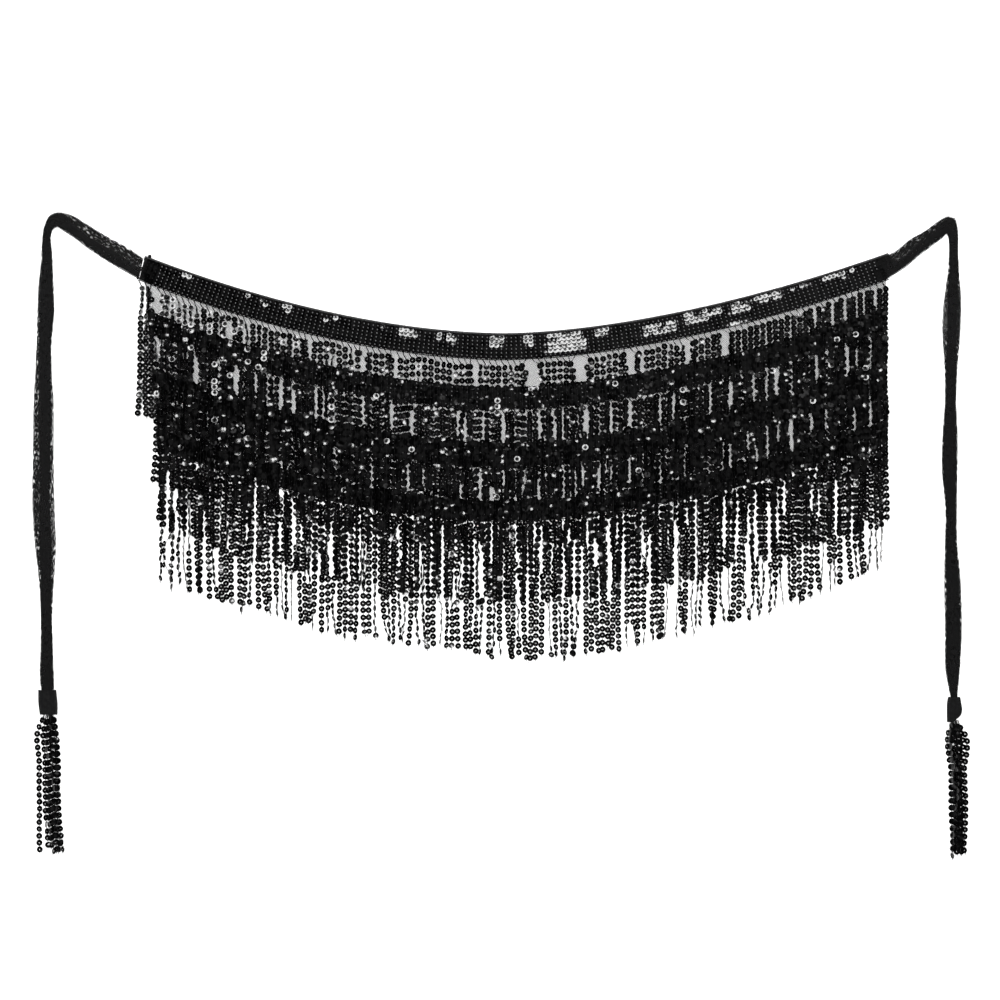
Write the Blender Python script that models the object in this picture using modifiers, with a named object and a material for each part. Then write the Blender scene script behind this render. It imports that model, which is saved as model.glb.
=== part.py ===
"""Costume belt: a hip scarf of black net with sequined bands, strung fringe and two tasselled ties.

Metres, +Z up. The belt is laid out flat on the plane z = 0 with its right side up: +X runs along
the waist, +Y points to the waist edge, and the origin is the middle of the laid-out belt on that
plane. "Drop" is a distance straight down (-Y) from the waist edge, so a seam that follows the
waist has one drop all along. The net and the sequined cloth are walls, the strung fringe is built
as strands and locks that grow out of a narrow header under each band.
"""
import math
from dataclasses import dataclass

import bmesh
import bpy
import numpy as np

MM = 0.001
SEAM_GAP = 0.3 * MM

COLLECTION_NAME = "costume_belt"

# Waist edge: a shallow dip, a little steeper to its left end than to its right.
WAIST_LOW_X = 5.5 * MM
WAIST_LOW_Y = 202.0 * MM

# Net panel and what is sewn on it, drops from the waist edge.
NET_THICK = 1.0 * MM
CLOTH_THICK = 1.2 * MM
CLOTH_LOW = NET_THICK + SEAM_GAP
CLOTH_TOP = CLOTH_LOW + CLOTH_THICK
BINDING_DEPTH = 2.0 * MM
BINDING_HEIGHT = 3.2 * MM
BINDING_CORNER = 0.5 * MM
WAISTBAND_BOTTOM = 26.0 * MM
PANEL_BOTTOM = 188.0 * MM
COLUMNS = 48

# Side edges of the panel: the left one slants in as it drops, the right one is straight.
PANEL_LEFT_X = -356.5 * MM
PANEL_LEFT_SLANT = 0.075
PANEL_RIGHT_X = 387.0 * MM
WAISTBAND_LEFT_X = -354.5 * MM
WAISTBAND_LEFT_SLANT = -0.23
WAISTBAND_RIGHT_X = 388.5 * MM

# Fringe: 122 strings of 6 mm sequins hang in each tier, in clumps of three or four.
HEADER_DEPTH = 2.7 * MM
STRINGS_PER_TIER = 122
CLUMPS_OF_THREE = 22
CLUMPS_OF_FOUR = 14
STRING_WIDTH = 5.6 * MM
STRAND_THICK = 1.8 * MM
STRAND_SPACE = 0.4 * MM
FREE_LOW = 0.3 * MM
CLUMP_PULL = 0.17
CLUMP_LEAN = 1.5 * MM
CLUMP_SWAY = 1.1 * MM
STRING_WOBBLE = 0.45 * MM
STRING_CURL = 1.3 * MM
STRING_UNEVEN = 3.0 * MM
SETTLE_SHARE = 0.35
CURL_START = 0.8
STRAND_STATIONS = (0.22, 0.5, 0.8, 1.0)
FRINGE_SEED = 40

# Ties: net folded lengthwise, one rounded strip with its layers showing at the edges.
TIE_SECTION_AREA = 48.0 * MM * MM
TIE_THICK_MIN = 2.0 * MM
TIE_THICK_MAX = 3.6 * MM
CUFF_WALL = 1.2 * MM
CUFF_HOLLOW_LOW = CUFF_WALL + SEAM_GAP
CUFF_MEETING_SHARE = 0.48
CUFF_FILL_WIDTH = 0.9
CUFF_FILL_HEIGHT = 0.85
TASSEL_COLUMNS = 4
TASSEL_LAYERS = 2
TASSEL_STRAND_WIDTH = 4.3 * MM
TASSEL_LAYER_RISE = 2.4 * MM
TASSEL_SHORTER_BY = (2.0 * MM, 4.5 * MM, 0.0 * MM, 5.5 * MM, 1.0 * MM, 0.0 * MM, 6.0 * MM, 3.0 * MM)

BLACK_NET = ("black_net", (0.012, 0.012, 0.013), 0.8)
BLACK_SEQUINS = ("black_sequins", (0.008, 0.008, 0.009), 0.25)
BLACK_TAPE = ("black_tape", (0.016, 0.015, 0.016), 0.7)
BLACK_CUFF = ("black_cuff", (0.012, 0.012, 0.013), 0.85)


@dataclass(frozen=True)
class WaistSide:
    """One side of the waist edge: its half length, its rise over the low point and its curve."""

    half: float
    rise: float
    power: float


LEFT_SIDE = WaistSide(half=369.0 * MM, rise=81.0 * MM, power=1.8)
RIGHT_SIDE = WaistSide(half=371.0 * MM, rise=76.0 * MM, power=1.68)


@dataclass(frozen=True)
class Band:
    """A sequined band sewn across the net, between two drops."""

    name: str
    top: float
    bottom: float


BANDS = (
    Band("sequin_band_1", 54.0 * MM, 76.0 * MM),
    Band("sequin_band_2", 110.0 * MM, 134.0 * MM),
    Band("sequin_band_3", 168.0 * MM, 188.0 * MM),
)


@dataclass(frozen=True)
class Tier:
    """One tier of fringe: where it hangs from and the height its strands lie at.

    tips holds (x, drop) of the strands' ends; heights holds (drop, underside z) along a strand;
    left_flare is how far the outermost clump on the left hangs out past its root.
    """

    name: str
    drop: float
    left_x: float
    right_x: float
    header_low: float
    tips: tuple
    heights: tuple
    left_flare: float = 0.0


TIERS = (
    Tier(
        "fringe_tier_1", WAISTBAND_BOTTOM, -360.4 * MM, 389.5 * MM, CLOTH_LOW,
        tips=((-360 * MM, 166 * MM), (0 * MM, 168 * MM), (389 * MM, 165 * MM)),
        heights=((29 * MM, 1.3 * MM), (52 * MM, 2.8 * MM), (105 * MM, 4.9 * MM),
                 (163 * MM, 7.5 * MM)),
        left_flare=2.6 * MM,
    ),
    Tier(
        "fringe_tier_2", BANDS[0].bottom, -346.5 * MM, 389.5 * MM, CLOTH_LOW,
        tips=((-346 * MM, 221 * MM), (0 * MM, 214 * MM), (389 * MM, 216 * MM)),
        heights=((79 * MM, 1.3 * MM), (107 * MM, 2.8 * MM), (163 * MM, 5.1 * MM)),
    ),
    Tier(
        "fringe_tier_3", BANDS[1].bottom, -344.0 * MM, 389.0 * MM, CLOTH_LOW,
        tips=((-344 * MM, 268 * MM), (0 * MM, 272 * MM), (389 * MM, 269 * MM)),
        heights=((137 * MM, 1.3 * MM), (164 * MM, 2.8 * MM)),
    ),
    Tier(
        "fringe_tier_4", BANDS[2].bottom, -342.0 * MM, 386.5 * MM, FREE_LOW,
        tips=((-342 * MM, 320 * MM), (-280 * MM, 317 * MM), (-180 * MM, 322 * MM),
              (-80 * MM, 320 * MM), (35 * MM, 331 * MM), (110 * MM, 329 * MM),
              (240 * MM, 323 * MM), (330 * MM, 319 * MM), (386 * MM, 312 * MM)),
        heights=((191 * MM, FREE_LOW),),
    ),
)


@dataclass(frozen=True)
class TieRow:
    """A section across a tie, from its inner to its outer edge, in millimetres."""

    outer_x: float
    outer_y: float
    inner_x: float
    inner_y: float


# From the waistband's end up to the turn, round it, and down to the cuff.
LEFT_TIE = (
    TieRow(-356.2, 278.0, -361.3, 255.2),
    TieRow(-368.7, 286.6, -380.1, 265.5),
    TieRow(-395.5, 301.5, -406.6, 282.0),
    TieRow(-415.0, 313.5, -428.2, 297.8),
    TieRow(-428.2, 321.0, -437.5, 304.0),
    TieRow(-441.5, 323.8, -443.1, 307.2),
    TieRow(-449.8, 321.0, -446.8, 304.8),
    TieRow(-455.0, 312.5, -448.4, 300.0),
    TieRow(-458.2, 296.0, -448.2, 292.0),
    TieRow(-459.3, 276.0, -446.7, 276.0),
    TieRow(-462.4, 247.0, -445.6, 247.0),
    TieRow(-463.3, 225.0, -444.7, 225.0),
    TieRow(-464.2, 190.0, -447.6, 190.0),
    TieRow(-465.4, 165.0, -447.4, 165.0),
    TieRow(-467.1, 135.0, -445.6, 135.0),
    TieRow(-468.1, 80.0, -445.3, 80.0),
    TieRow(-468.3, 20.0, -444.0, 20.0),
    TieRow(-466.3, -8.0, -443.0, -8.0),
    TieRow(-462.2, -41.0, -444.8, -41.0),
    TieRow(-459.8, -75.0, -447.1, -75.0),
    TieRow(-459.9, -110.0, -446.5, -110.0),
    TieRow(-460.3, -148.0, -445.2, -148.0),
)
RIGHT_TIE = (
    TieRow(388.9, 281.8, 389.4, 256.0),
    TieRow(394.6, 283.6, 404.7, 266.0),
    TieRow(408.7, 295.5, 420.8, 279.4),
    TieRow(427.5, 306.4, 438.2, 292.8),
    TieRow(440.9, 316.2, 444.2, 297.2),
    TieRow(448.9, 320.0, 447.2, 300.1),
    TieRow(455.6, 318.2, 448.7, 297.0),
    TieRow(458.7, 309.0, 449.2, 292.0),
    TieRow(459.5, 285.0, 449.3, 283.0),
    TieRow(460.2, 268.0, 448.7, 268.0),
    TieRow(462.8, 231.0, 443.6, 231.0),
    TieRow(461.8, 199.0, 442.5, 199.0),
    TieRow(459.2, 170.0, 444.5, 170.0),
    TieRow(457.6, 135.0, 445.2, 135.0),
    TieRow(459.1, 103.0, 442.9, 103.0),
    TieRow(459.0, 65.0, 442.1, 65.0),
    TieRow(458.2, 23.0, 445.8, 23.0),
    TieRow(458.6, -8.0, 445.2, -8.0),
    TieRow(461.9, -41.0, 444.4, -41.0),
    TieRow(463.3, -100.0, 445.2, -100.0),
    TieRow(461.2, -137.0, 445.9, -137.0),
    TieRow(459.2, -156.0, 449.6, -156.0),
)

# Section of a folded tie: share of the width from the inner edge, share of the thickness.
TIE_SECTION = (
    (0.05, 0.00), (0.95, 0.00), (1.00, 0.26), (0.965, 0.38), (0.99, 0.62), (0.93, 0.90),
    (0.60, 1.00), (0.56, 0.80), (0.09, 0.80), (0.02, 0.60), (0.045, 0.42), (0.00, 0.28),
)

# Rounded flat section of a cuff: share of the half width, share of the height.
CUFF_SECTION = (
    (-0.86, 0.00), (0.86, 0.00), (1.00, 0.22), (1.00, 0.72), (0.84, 0.94), (0.45, 1.00),
    (-0.45, 1.00), (-0.84, 0.94), (-1.00, 0.72), (-1.00, 0.22),
)


@dataclass(frozen=True)
class CuffRow:
    """A section across a cuff, in millimetres."""

    y: float
    middle_x: float
    width: float
    height: float


LEFT_CUFF = (
    CuffRow(-155.0, -452.4, 17.6, 6.2),
    CuffRow(-168.0, -451.7, 18.8, 6.4),
    CuffRow(-179.6, -451.0, 17.4, 6.2),
)
RIGHT_CUFF = (
    CuffRow(-162.0, 454.7, 11.4, 6.2),
    CuffRow(-169.0, 454.7, 13.6, 6.4),
    CuffRow(-177.0, 455.1, 14.8, 6.4),
    CuffRow(-187.0, 454.5, 13.8, 6.2),
)


@dataclass(frozen=True)
class TasselRow:
    """How wide a tassel spreads at one y, in millimetres."""

    y: float
    left_x: float
    right_x: float


LEFT_TASSEL = (
    TasselRow(-192.0, -462.0, -443.0),
    TasselRow(-228.0, -463.4, -441.0),
    TasselRow(-280.0, -463.2, -440.2),
    TasselRow(-316.5, -460.0, -434.8),
)
RIGHT_TASSEL = (
    TasselRow(-196.0, 446.0, 466.0),
    TasselRow(-236.0, 448.0, 467.6),
    TasselRow(-286.0, 449.5, 468.4),
    TasselRow(-323.8, 449.6, 468.4),
)


def lerp(start, end, share):
    """Value between start and end at the given share of the way."""
    return start + (end - start) * share


def waist_y(x):
    """Y of the waist edge at x."""
    side = LEFT_SIDE if x < WAIST_LOW_X else RIGHT_SIDE
    return WAIST_LOW_Y + side.rise * (abs(x - WAIST_LOW_X) / side.half) ** side.power


def panel_left(drop):
    """X of the net panel's left edge at a drop."""
    return PANEL_LEFT_X + PANEL_LEFT_SLANT * drop


def waistband_left(drop):
    """X of the waistband's slanted left end at a drop."""
    return WAISTBAND_LEFT_X + WAISTBAND_LEFT_SLANT * drop


def make_material(name, colour, roughness):
    """A plain Principled material with the piece's colour."""
    material = bpy.data.materials.new(name)
    material.use_nodes = True
    shader = material.node_tree.nodes["Principled BSDF"]
    shader.inputs["Base Color"].default_value = (*colour, 1.0)
    shader.inputs["Roughness"].default_value = roughness
    shader.inputs["Metallic"].default_value = 0.0
    return material


def add_object(collection, name, mesh, finish):
    """Turn a bmesh into a named object of the belt with its own material."""
    bmesh.ops.recalc_face_normals(mesh, faces=mesh.faces)
    data = bpy.data.meshes.new(name)
    mesh.to_mesh(data)
    mesh.free()
    piece = bpy.data.objects.new(name, data)
    stem, colour, roughness = finish
    data.materials.append(make_material(f"{stem}_{name}", colour, roughness))
    collection.objects.link(piece)
    return piece


def even_shares(count):
    """Shares 0 to 1 that part a strip into equal columns."""
    return [index / count for index in range(count + 1)]


def strip(top, bottom, left_x, right_x, shares, low, thick):
    """A strip of cloth that follows the waist edge between two drops, as a closed bmesh.

    left_x and right_x give the ends' x at a drop, shares the column lines between the ends.
    """
    mesh = bmesh.new()
    bmesh.ops.create_grid(mesh, x_segments=len(shares) - 1, y_segments=1, size=0.5)
    for vertex in mesh.verts:
        column = round((vertex.co.x + 0.5) * (len(shares) - 1))
        drop = lerp(bottom, top, vertex.co.y + 0.5)
        x = lerp(left_x(drop), right_x(drop), shares[column])
        vertex.co = (x, waist_y(x) - drop, low)
    raised = bmesh.ops.extrude_face_region(mesh, geom=mesh.faces[:])["geom"]
    upper = [part for part in raised if isinstance(part, bmesh.types.BMVert)]
    bmesh.ops.translate(mesh, verts=upper, vec=(0.0, 0.0, thick))
    bmesh.ops.recalc_face_normals(mesh, faces=mesh.faces)
    return mesh


def loft(rings):
    """A closed bmesh through rings of points: the first ring's face is extruded ring by ring."""
    mesh = bmesh.new()
    end = mesh.faces.new([mesh.verts.new(point) for point in rings[0]])
    grown = bmesh.ops.extrude_face_region(mesh, geom=[end])["geom"]
    end = next(part for part in grown if isinstance(part, bmesh.types.BMFace))
    for ring in rings[1:]:
        if ring is not rings[1]:
            end = bmesh.ops.extrude_discrete_faces(mesh, faces=[end])["faces"][0]
        for vertex, point in zip(end.verts, ring):
            vertex.co = point
    return mesh


def build_net_panel(collection):
    """The panel of net that everything is sewn on; its back lies flat."""
    mesh = strip(BINDING_DEPTH + SEAM_GAP, PANEL_BOTTOM, panel_left, lambda drop: PANEL_RIGHT_X,
                 even_shares(COLUMNS), 0.0, NET_THICK)
    add_object(collection, "net_panel", mesh, BLACK_NET)


def build_edge_binding(collection):
    """The narrow tape folded over the waist edge, a rounded bead along panel and waistband."""
    left = waistband_left(0.0)
    rings = []
    for share in even_shares(COLUMNS):
        x = lerp(left, WAISTBAND_RIGHT_X, share)
        top = waist_y(x)
        bottom = top - BINDING_DEPTH
        rings.append([
            (x, bottom, 0.0),
            (x, top - BINDING_CORNER, 0.0),
            (x, top, BINDING_CORNER),
            (x, top, BINDING_HEIGHT - BINDING_CORNER),
            (x, top - BINDING_CORNER, BINDING_HEIGHT),
            (x, bottom, BINDING_HEIGHT),
        ])
    add_object(collection, "edge_binding", loft(rings), BLACK_TAPE)


def build_waistband(collection):
    """The deep sequined band along the waist, with a slanted left end for the tie's seam."""
    mesh = strip(BINDING_DEPTH + SEAM_GAP, WAISTBAND_BOTTOM, waistband_left,
                 lambda drop: WAISTBAND_RIGHT_X, even_shares(COLUMNS), CLOTH_LOW, CLOTH_THICK)
    add_object(collection, "waistband", mesh, BLACK_SEQUINS)


def build_band(collection, band):
    """One of the sequined bands across the net."""
    mesh = strip(band.top, band.bottom, panel_left, lambda drop: PANEL_RIGHT_X,
                 even_shares(COLUMNS), CLOTH_LOW, CLOTH_THICK)
    add_object(collection, band.name, mesh, BLACK_SEQUINS)


@dataclass(frozen=True)
class String:
    """One string of sequins: its root, the pull of its clump, its lean, sway, curl and end."""

    root_x: float
    pull: float
    lean: float
    sway: float
    phase: float
    curl: float
    tip_drop: float

    def x_at(self, share):
        """X of the string at a share of its length."""
        settled = min(share / SETTLE_SHARE, 1.0)
        settled = settled * settled * (3.0 - 2.0 * settled)
        curled = max(0.0, (share - CURL_START) / (1.0 - CURL_START)) ** 2
        swayed = self.sway * share * math.sin(2.0 * math.pi * share + self.phase)
        return self.root_x + self.pull * settled + self.lean * share + swayed + self.curl * curled


def string_clumps(tier, tier_index):
    """The strings of a tier, parted into clumps of three and four from left to right."""
    chance = np.random.default_rng(FRINGE_SEED + tier_index)
    sizes = [3] * CLUMPS_OF_THREE + [4] * CLUMPS_OF_FOUR
    chance.shuffle(sizes)
    pitch = (tier.right_x - tier.left_x) / STRINGS_PER_TIER
    tip_x, tip_drop = zip(*tier.tips)
    clumps = []
    first = 0
    for size in sizes:
        middle = tier.left_x + pitch * (first + size / 2)
        pull, lean, sway, phase = chance.uniform(
            (CLUMP_PULL * 0.4, -CLUMP_LEAN, -CLUMP_SWAY, 0.0),
            (CLUMP_PULL, CLUMP_LEAN, CLUMP_SWAY, 2.0 * math.pi))
        flare = tier.left_flare if first == 0 else 0.0
        clump = []
        for index in range(first, first + size):
            root_x = tier.left_x + pitch * (index + 0.5)
            wobble, curl, uneven = chance.uniform(-1.0, 1.0, 3)
            clump.append(String(
                root_x=root_x,
                pull=pull * (middle - root_x) - flare,
                lean=lean + wobble * STRING_WOBBLE,
                sway=sway,
                phase=phase,
                curl=curl * STRING_CURL,
                tip_drop=float(np.interp(root_x, tip_x, tip_drop)) + uneven * STRING_UNEVEN,
            ))
        clumps.append(clump)
        first += size
    return clumps


def header_shares(tier, locks):
    """Column lines of a header, halfway between the roots of neighbouring locks."""
    lines = [0.0]
    for lock, following in zip(locks, locks[1:]):
        border = (lock[-1].root_x + following[0].root_x) / 2
        lines.append((border - tier.left_x) / (tier.right_x - tier.left_x))
    return lines + [1.0]


def lock_edges(locks, share):
    """Left and right x of every lock at a share of its length, kept clear of its neighbours."""
    lefts = [lock[0].x_at(share) - STRING_WIDTH / 2 for lock in locks]
    rights = [lock[-1].x_at(share) + STRING_WIDTH / 2 for lock in locks]
    for index in range(len(locks) - 1):
        overlap = rights[index] + STRAND_SPACE - lefts[index + 1]
        if overlap > 0:
            rights[index] -= overlap / 2
            lefts[index + 1] += overlap / 2
    return lefts, rights


def grow_strand(mesh, root, sections):
    """Extrude a header's face through sections of (left xy, right xy, underside z)."""
    middle = root.calc_center_median()
    corners = [(vertex.co.x > middle.x, vertex.co.z > middle.z) for vertex in root.verts]
    tip = root
    for left, right, low in sections:
        tip = bmesh.ops.extrude_discrete_faces(mesh, faces=[tip])["faces"][0]
        for vertex, (is_right, is_upper) in zip(tip.verts, corners):
            edge = right if is_right else left
            vertex.co = (*edge, low + (STRAND_THICK if is_upper else 0.0))


def build_fringe(collection, tier, tier_index):
    """A tier of fringe: a header strip under the band, and the strands that grow from it.

    The three upper tiers are built as one lock for each clump, the lowest string by string.
    """
    clumps = string_clumps(tier, tier_index)
    if tier is TIERS[-1]:
        locks = [[string] for clump in clumps for string in clump]
    else:
        locks = clumps
    top = tier.drop + SEAM_GAP
    bottom = top + HEADER_DEPTH
    mesh = strip(top, bottom, lambda drop: tier.left_x, lambda drop: tier.right_x,
                 header_shares(tier, locks), tier.header_low, CLOTH_THICK)
    roots = []
    for face in mesh.faces:
        middle = face.calc_center_median()
        if abs(face.normal.z) < 0.5 and waist_y(middle.x) - middle.y > bottom - HEADER_DEPTH / 4:
            roots.append(face)
    roots.sort(key=lambda face: face.calc_center_median().x)
    drops, lows = zip(*tier.heights)
    sections = [[] for _ in locks]
    for share in STRAND_STATIONS:
        lefts, rights = lock_edges(locks, share)
        for index, lock in enumerate(locks):
            left_drop = lerp(bottom, lock[0].tip_drop, share)
            right_drop = lerp(bottom, lock[-1].tip_drop, share)
            left = (lefts[index], waist_y(lock[0].root_x) - left_drop)
            right = (rights[index], waist_y(lock[-1].root_x) - right_drop)
            low = float(np.interp((left_drop + right_drop) / 2, drops, lows))
            sections[index].append((left, right, low))
    for root, strand in zip(roots, sections):
        grow_strand(mesh, root, strand)
    add_object(collection, tier.name, mesh, BLACK_SEQUINS)


def tie_ring(row, low, thick):
    """Points of a tie's section between its inner and outer edge."""
    ring = []
    for across, up in TIE_SECTION:
        x = lerp(row.inner_x, row.outer_x, across) * MM
        y = lerp(row.inner_y, row.outer_y, across) * MM
        ring.append((x, y, low + up * thick))
    return ring


def row_width(row):
    """Width of a tie across a row, in metres."""
    return math.hypot(row.outer_x - row.inner_x, row.outer_y - row.inner_y) * MM


def tie_thickness(width):
    """A folded tie keeps its cloth: where it is pinched narrower it is thicker."""
    return min(max(TIE_SECTION_AREA / width, TIE_THICK_MIN), TIE_THICK_MAX)


def cuff_fill(row):
    """Width and height of the cloth that fills a cuff's hollow at a row, in metres."""
    width = row.width * MM - 2.0 * (CUFF_WALL + SEAM_GAP)
    height = row.height * MM - 2.0 * (CUFF_WALL + SEAM_GAP)
    return width * CUFF_FILL_WIDTH, height * CUFF_FILL_HEIGHT


def cuff_meeting_y(cuff):
    """Y inside a cuff where the tie's end meets the tassel's head, in millimetres."""
    return lerp(cuff[0].y, cuff[-1].y, CUFF_MEETING_SHARE)


def build_tie(collection, name, rows, cuff):
    """A net tie, from the waistband's end round its turn and down into its cuff."""
    rings = [tie_ring(row, 0.0, tie_thickness(row_width(row))) for row in rows]
    outward = math.copysign(1.0, rows[-1].outer_x - rows[-1].inner_x)
    width, height = cuff_fill(cuff[0])
    half = outward * width / 2 / MM
    for y in (cuff[0].y + 1.0, cuff_meeting_y(cuff)):
        row = TieRow(cuff[0].middle_x + half, y, cuff[0].middle_x - half, y)
        rings.append(tie_ring(row, CUFF_HOLLOW_LOW, height))
    add_object(collection, name, loft(rings), BLACK_NET)


def build_cuff(collection, name, rows):
    """A cuff: a short sleeve of cloth round the end of a tie and the head of its tassel."""
    mesh = bmesh.new()
    rings = []
    for row in rows:
        rings.append([
            mesh.verts.new(((row.middle_x + side * row.width / 2) * MM, row.y * MM,
                            up * row.height * MM))
            for side, up in CUFF_SECTION
        ])
    edges = [mesh.edges.new((ring[-1], ring[0])) for ring in rings]
    for ring in rings:
        edges.extend(mesh.edges.new(pair) for pair in zip(ring, ring[1:]))
    bmesh.ops.bridge_loops(mesh, edges=edges)
    cuff = add_object(collection, name, mesh, BLACK_CUFF)
    wall = cuff.modifiers.new("cloth", "SOLIDIFY")
    wall.thickness = CUFF_WALL
    wall.offset = -1.0
    wall.use_even_offset = True


def build_tassel(collection, name, rows, cuff):
    """A tassel: a head held in the cuff, and two layers of strands that spread below it."""
    head_width, head_height = cuff_fill(cuff[-1])
    head_width = min(head_width, cuff_fill(cuff[1])[0])
    middle_x = cuff[-1].middle_x * MM
    head_top = cuff_meeting_y(cuff) * MM - SEAM_GAP
    mesh = bmesh.new()
    bmesh.ops.create_grid(mesh, x_segments=TASSEL_COLUMNS, y_segments=TASSEL_LAYERS, size=0.5)
    for vertex in mesh.verts:
        vertex.co = (middle_x + vertex.co.x * head_width, cuff[-1].y * MM,
                     CUFF_HOLLOW_LOW + (vertex.co.y + 0.5) * head_height)
    roots = mesh.faces[:]
    raised = bmesh.ops.extrude_face_region(mesh, geom=roots)["geom"]
    backs = [part for part in raised if isinstance(part, bmesh.types.BMVert)]
    for vertex in backs:
        vertex.co.y = head_top
    for root in roots:
        middle = root.calc_center_median()
        column = int((middle.x - middle_x) / head_width * TASSEL_COLUMNS + TASSEL_COLUMNS / 2)
        layer = int((middle.z - CUFF_HOLLOW_LOW) / head_height * TASSEL_LAYERS)
        low = FREE_LOW + layer * TASSEL_LAYER_RISE
        shorter_by = TASSEL_SHORTER_BY[column + layer * TASSEL_COLUMNS]
        sections = []
        for row in rows:
            pitch = (row.right_x - row.left_x) * MM / TASSEL_COLUMNS
            centre = row.left_x * MM + pitch * (column + 0.5)
            half = min(TASSEL_STRAND_WIDTH, pitch - STRAND_SPACE) / 2
            y = row.y * MM + (shorter_by if row is rows[-1] else 0.0)
            sections.append(((centre - half, y), (centre + half, y), low))
        grow_strand(mesh, root, sections)
    add_object(collection, name, mesh, BLACK_SEQUINS)


def main():
    """Build the belt."""
    for scene_object in list(bpy.data.objects):
        bpy.data.objects.remove(scene_object)
    collection = bpy.data.collections.new(COLLECTION_NAME)
    bpy.context.scene.collection.children.link(collection)
    build_net_panel(collection)
    build_edge_binding(collection)
    build_waistband(collection)
    for band in BANDS:
        build_band(collection, band)
    for tier_index, tier in enumerate(TIERS):
        build_fringe(collection, tier, tier_index)
    for side, rows, cuff, tassel in (
        ("left", LEFT_TIE, LEFT_CUFF, LEFT_TASSEL),
        ("right", RIGHT_TIE, RIGHT_CUFF, RIGHT_TASSEL),
    ):
        build_tie(collection, f"tie_{side}", rows, cuff)
        build_cuff(collection, f"cuff_{side}", cuff)
        build_tassel(collection, f"tassel_{side}", tassel, cuff)


main()
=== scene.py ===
"""Costume belt, dressed: net, tape, sewn sequins, strung fringe, folded ties, cuffs and tassels.

Metres, +Z up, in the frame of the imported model. The belt lies flat with its right side up: +X runs
along the waist, +Y points to the waist edge. "Drop" is a distance straight down (-Y) from the waist
edge. Each sub-assembly is a class that holds its sizes and builds and dresses its own pieces.
"""
import logging
import math
from dataclasses import astuple, dataclass, field
from enum import Enum

import bpy
import numpy as np
from bpy.types import Material, Node, NodeSocket, Object
from numpy import ndarray
from numpy.random import Generator
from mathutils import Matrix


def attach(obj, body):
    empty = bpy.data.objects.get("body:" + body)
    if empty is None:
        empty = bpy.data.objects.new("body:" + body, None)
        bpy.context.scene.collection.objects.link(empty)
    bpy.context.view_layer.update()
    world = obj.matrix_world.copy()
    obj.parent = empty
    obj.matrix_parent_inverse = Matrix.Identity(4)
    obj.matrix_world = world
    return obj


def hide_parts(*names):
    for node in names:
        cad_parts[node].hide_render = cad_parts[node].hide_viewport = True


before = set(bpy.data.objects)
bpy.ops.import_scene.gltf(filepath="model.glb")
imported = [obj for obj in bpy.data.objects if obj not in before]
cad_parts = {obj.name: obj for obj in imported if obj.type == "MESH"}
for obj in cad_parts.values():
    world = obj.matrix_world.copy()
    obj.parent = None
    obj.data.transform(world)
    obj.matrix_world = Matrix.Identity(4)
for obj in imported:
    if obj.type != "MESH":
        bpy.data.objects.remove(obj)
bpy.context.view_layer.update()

LOG = logging.getLogger("costume_belt")
BODY = "root"
MM = 0.001
UP = np.array((0.0, 0.0, 1.0))

# What the pieces of the belt share: seams and the heights at which its layers lie.
SEAM_GAP = 0.3 * MM
NET_HEIGHT = 0.6 * MM
CLOTH_LOW = 1.3 * MM
CLOTH_TOP = 2.5 * MM
BINDING_DEPTH = 2.0 * MM
BINDING_HEIGHT = 3.2 * MM
WAISTBAND_BOTTOM = 26.0 * MM
PANEL_BOTTOM = 188.0 * MM
PANEL_LEFT_X = -356.5 * MM
PANEL_LEFT_SLANT = 0.075
PANEL_RIGHT_X = 387.0 * MM
WAISTBAND_LEFT_X = -354.5 * MM
WAISTBAND_LEFT_SLANT = -0.23
WAISTBAND_RIGHT_X = 388.5 * MM


class Slot(Enum):
    """The record's material slots."""

    NET = "net"
    TAPE = "tape"
    BAND_SEQUINS = "band_sequins"
    FRINGE_SEQUINS = "fringe_sequins"


class Hold(Enum):
    """How a sheet of cloth is held."""

    LAID = "laid"
    FOLDED = "folded"
    GATHERED = "gathered"


@dataclass(frozen=True)
class WaistSide:
    """One side of the waist edge: its half length, its rise over the low point and its curve."""

    half: float
    rise: float
    power: float


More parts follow.
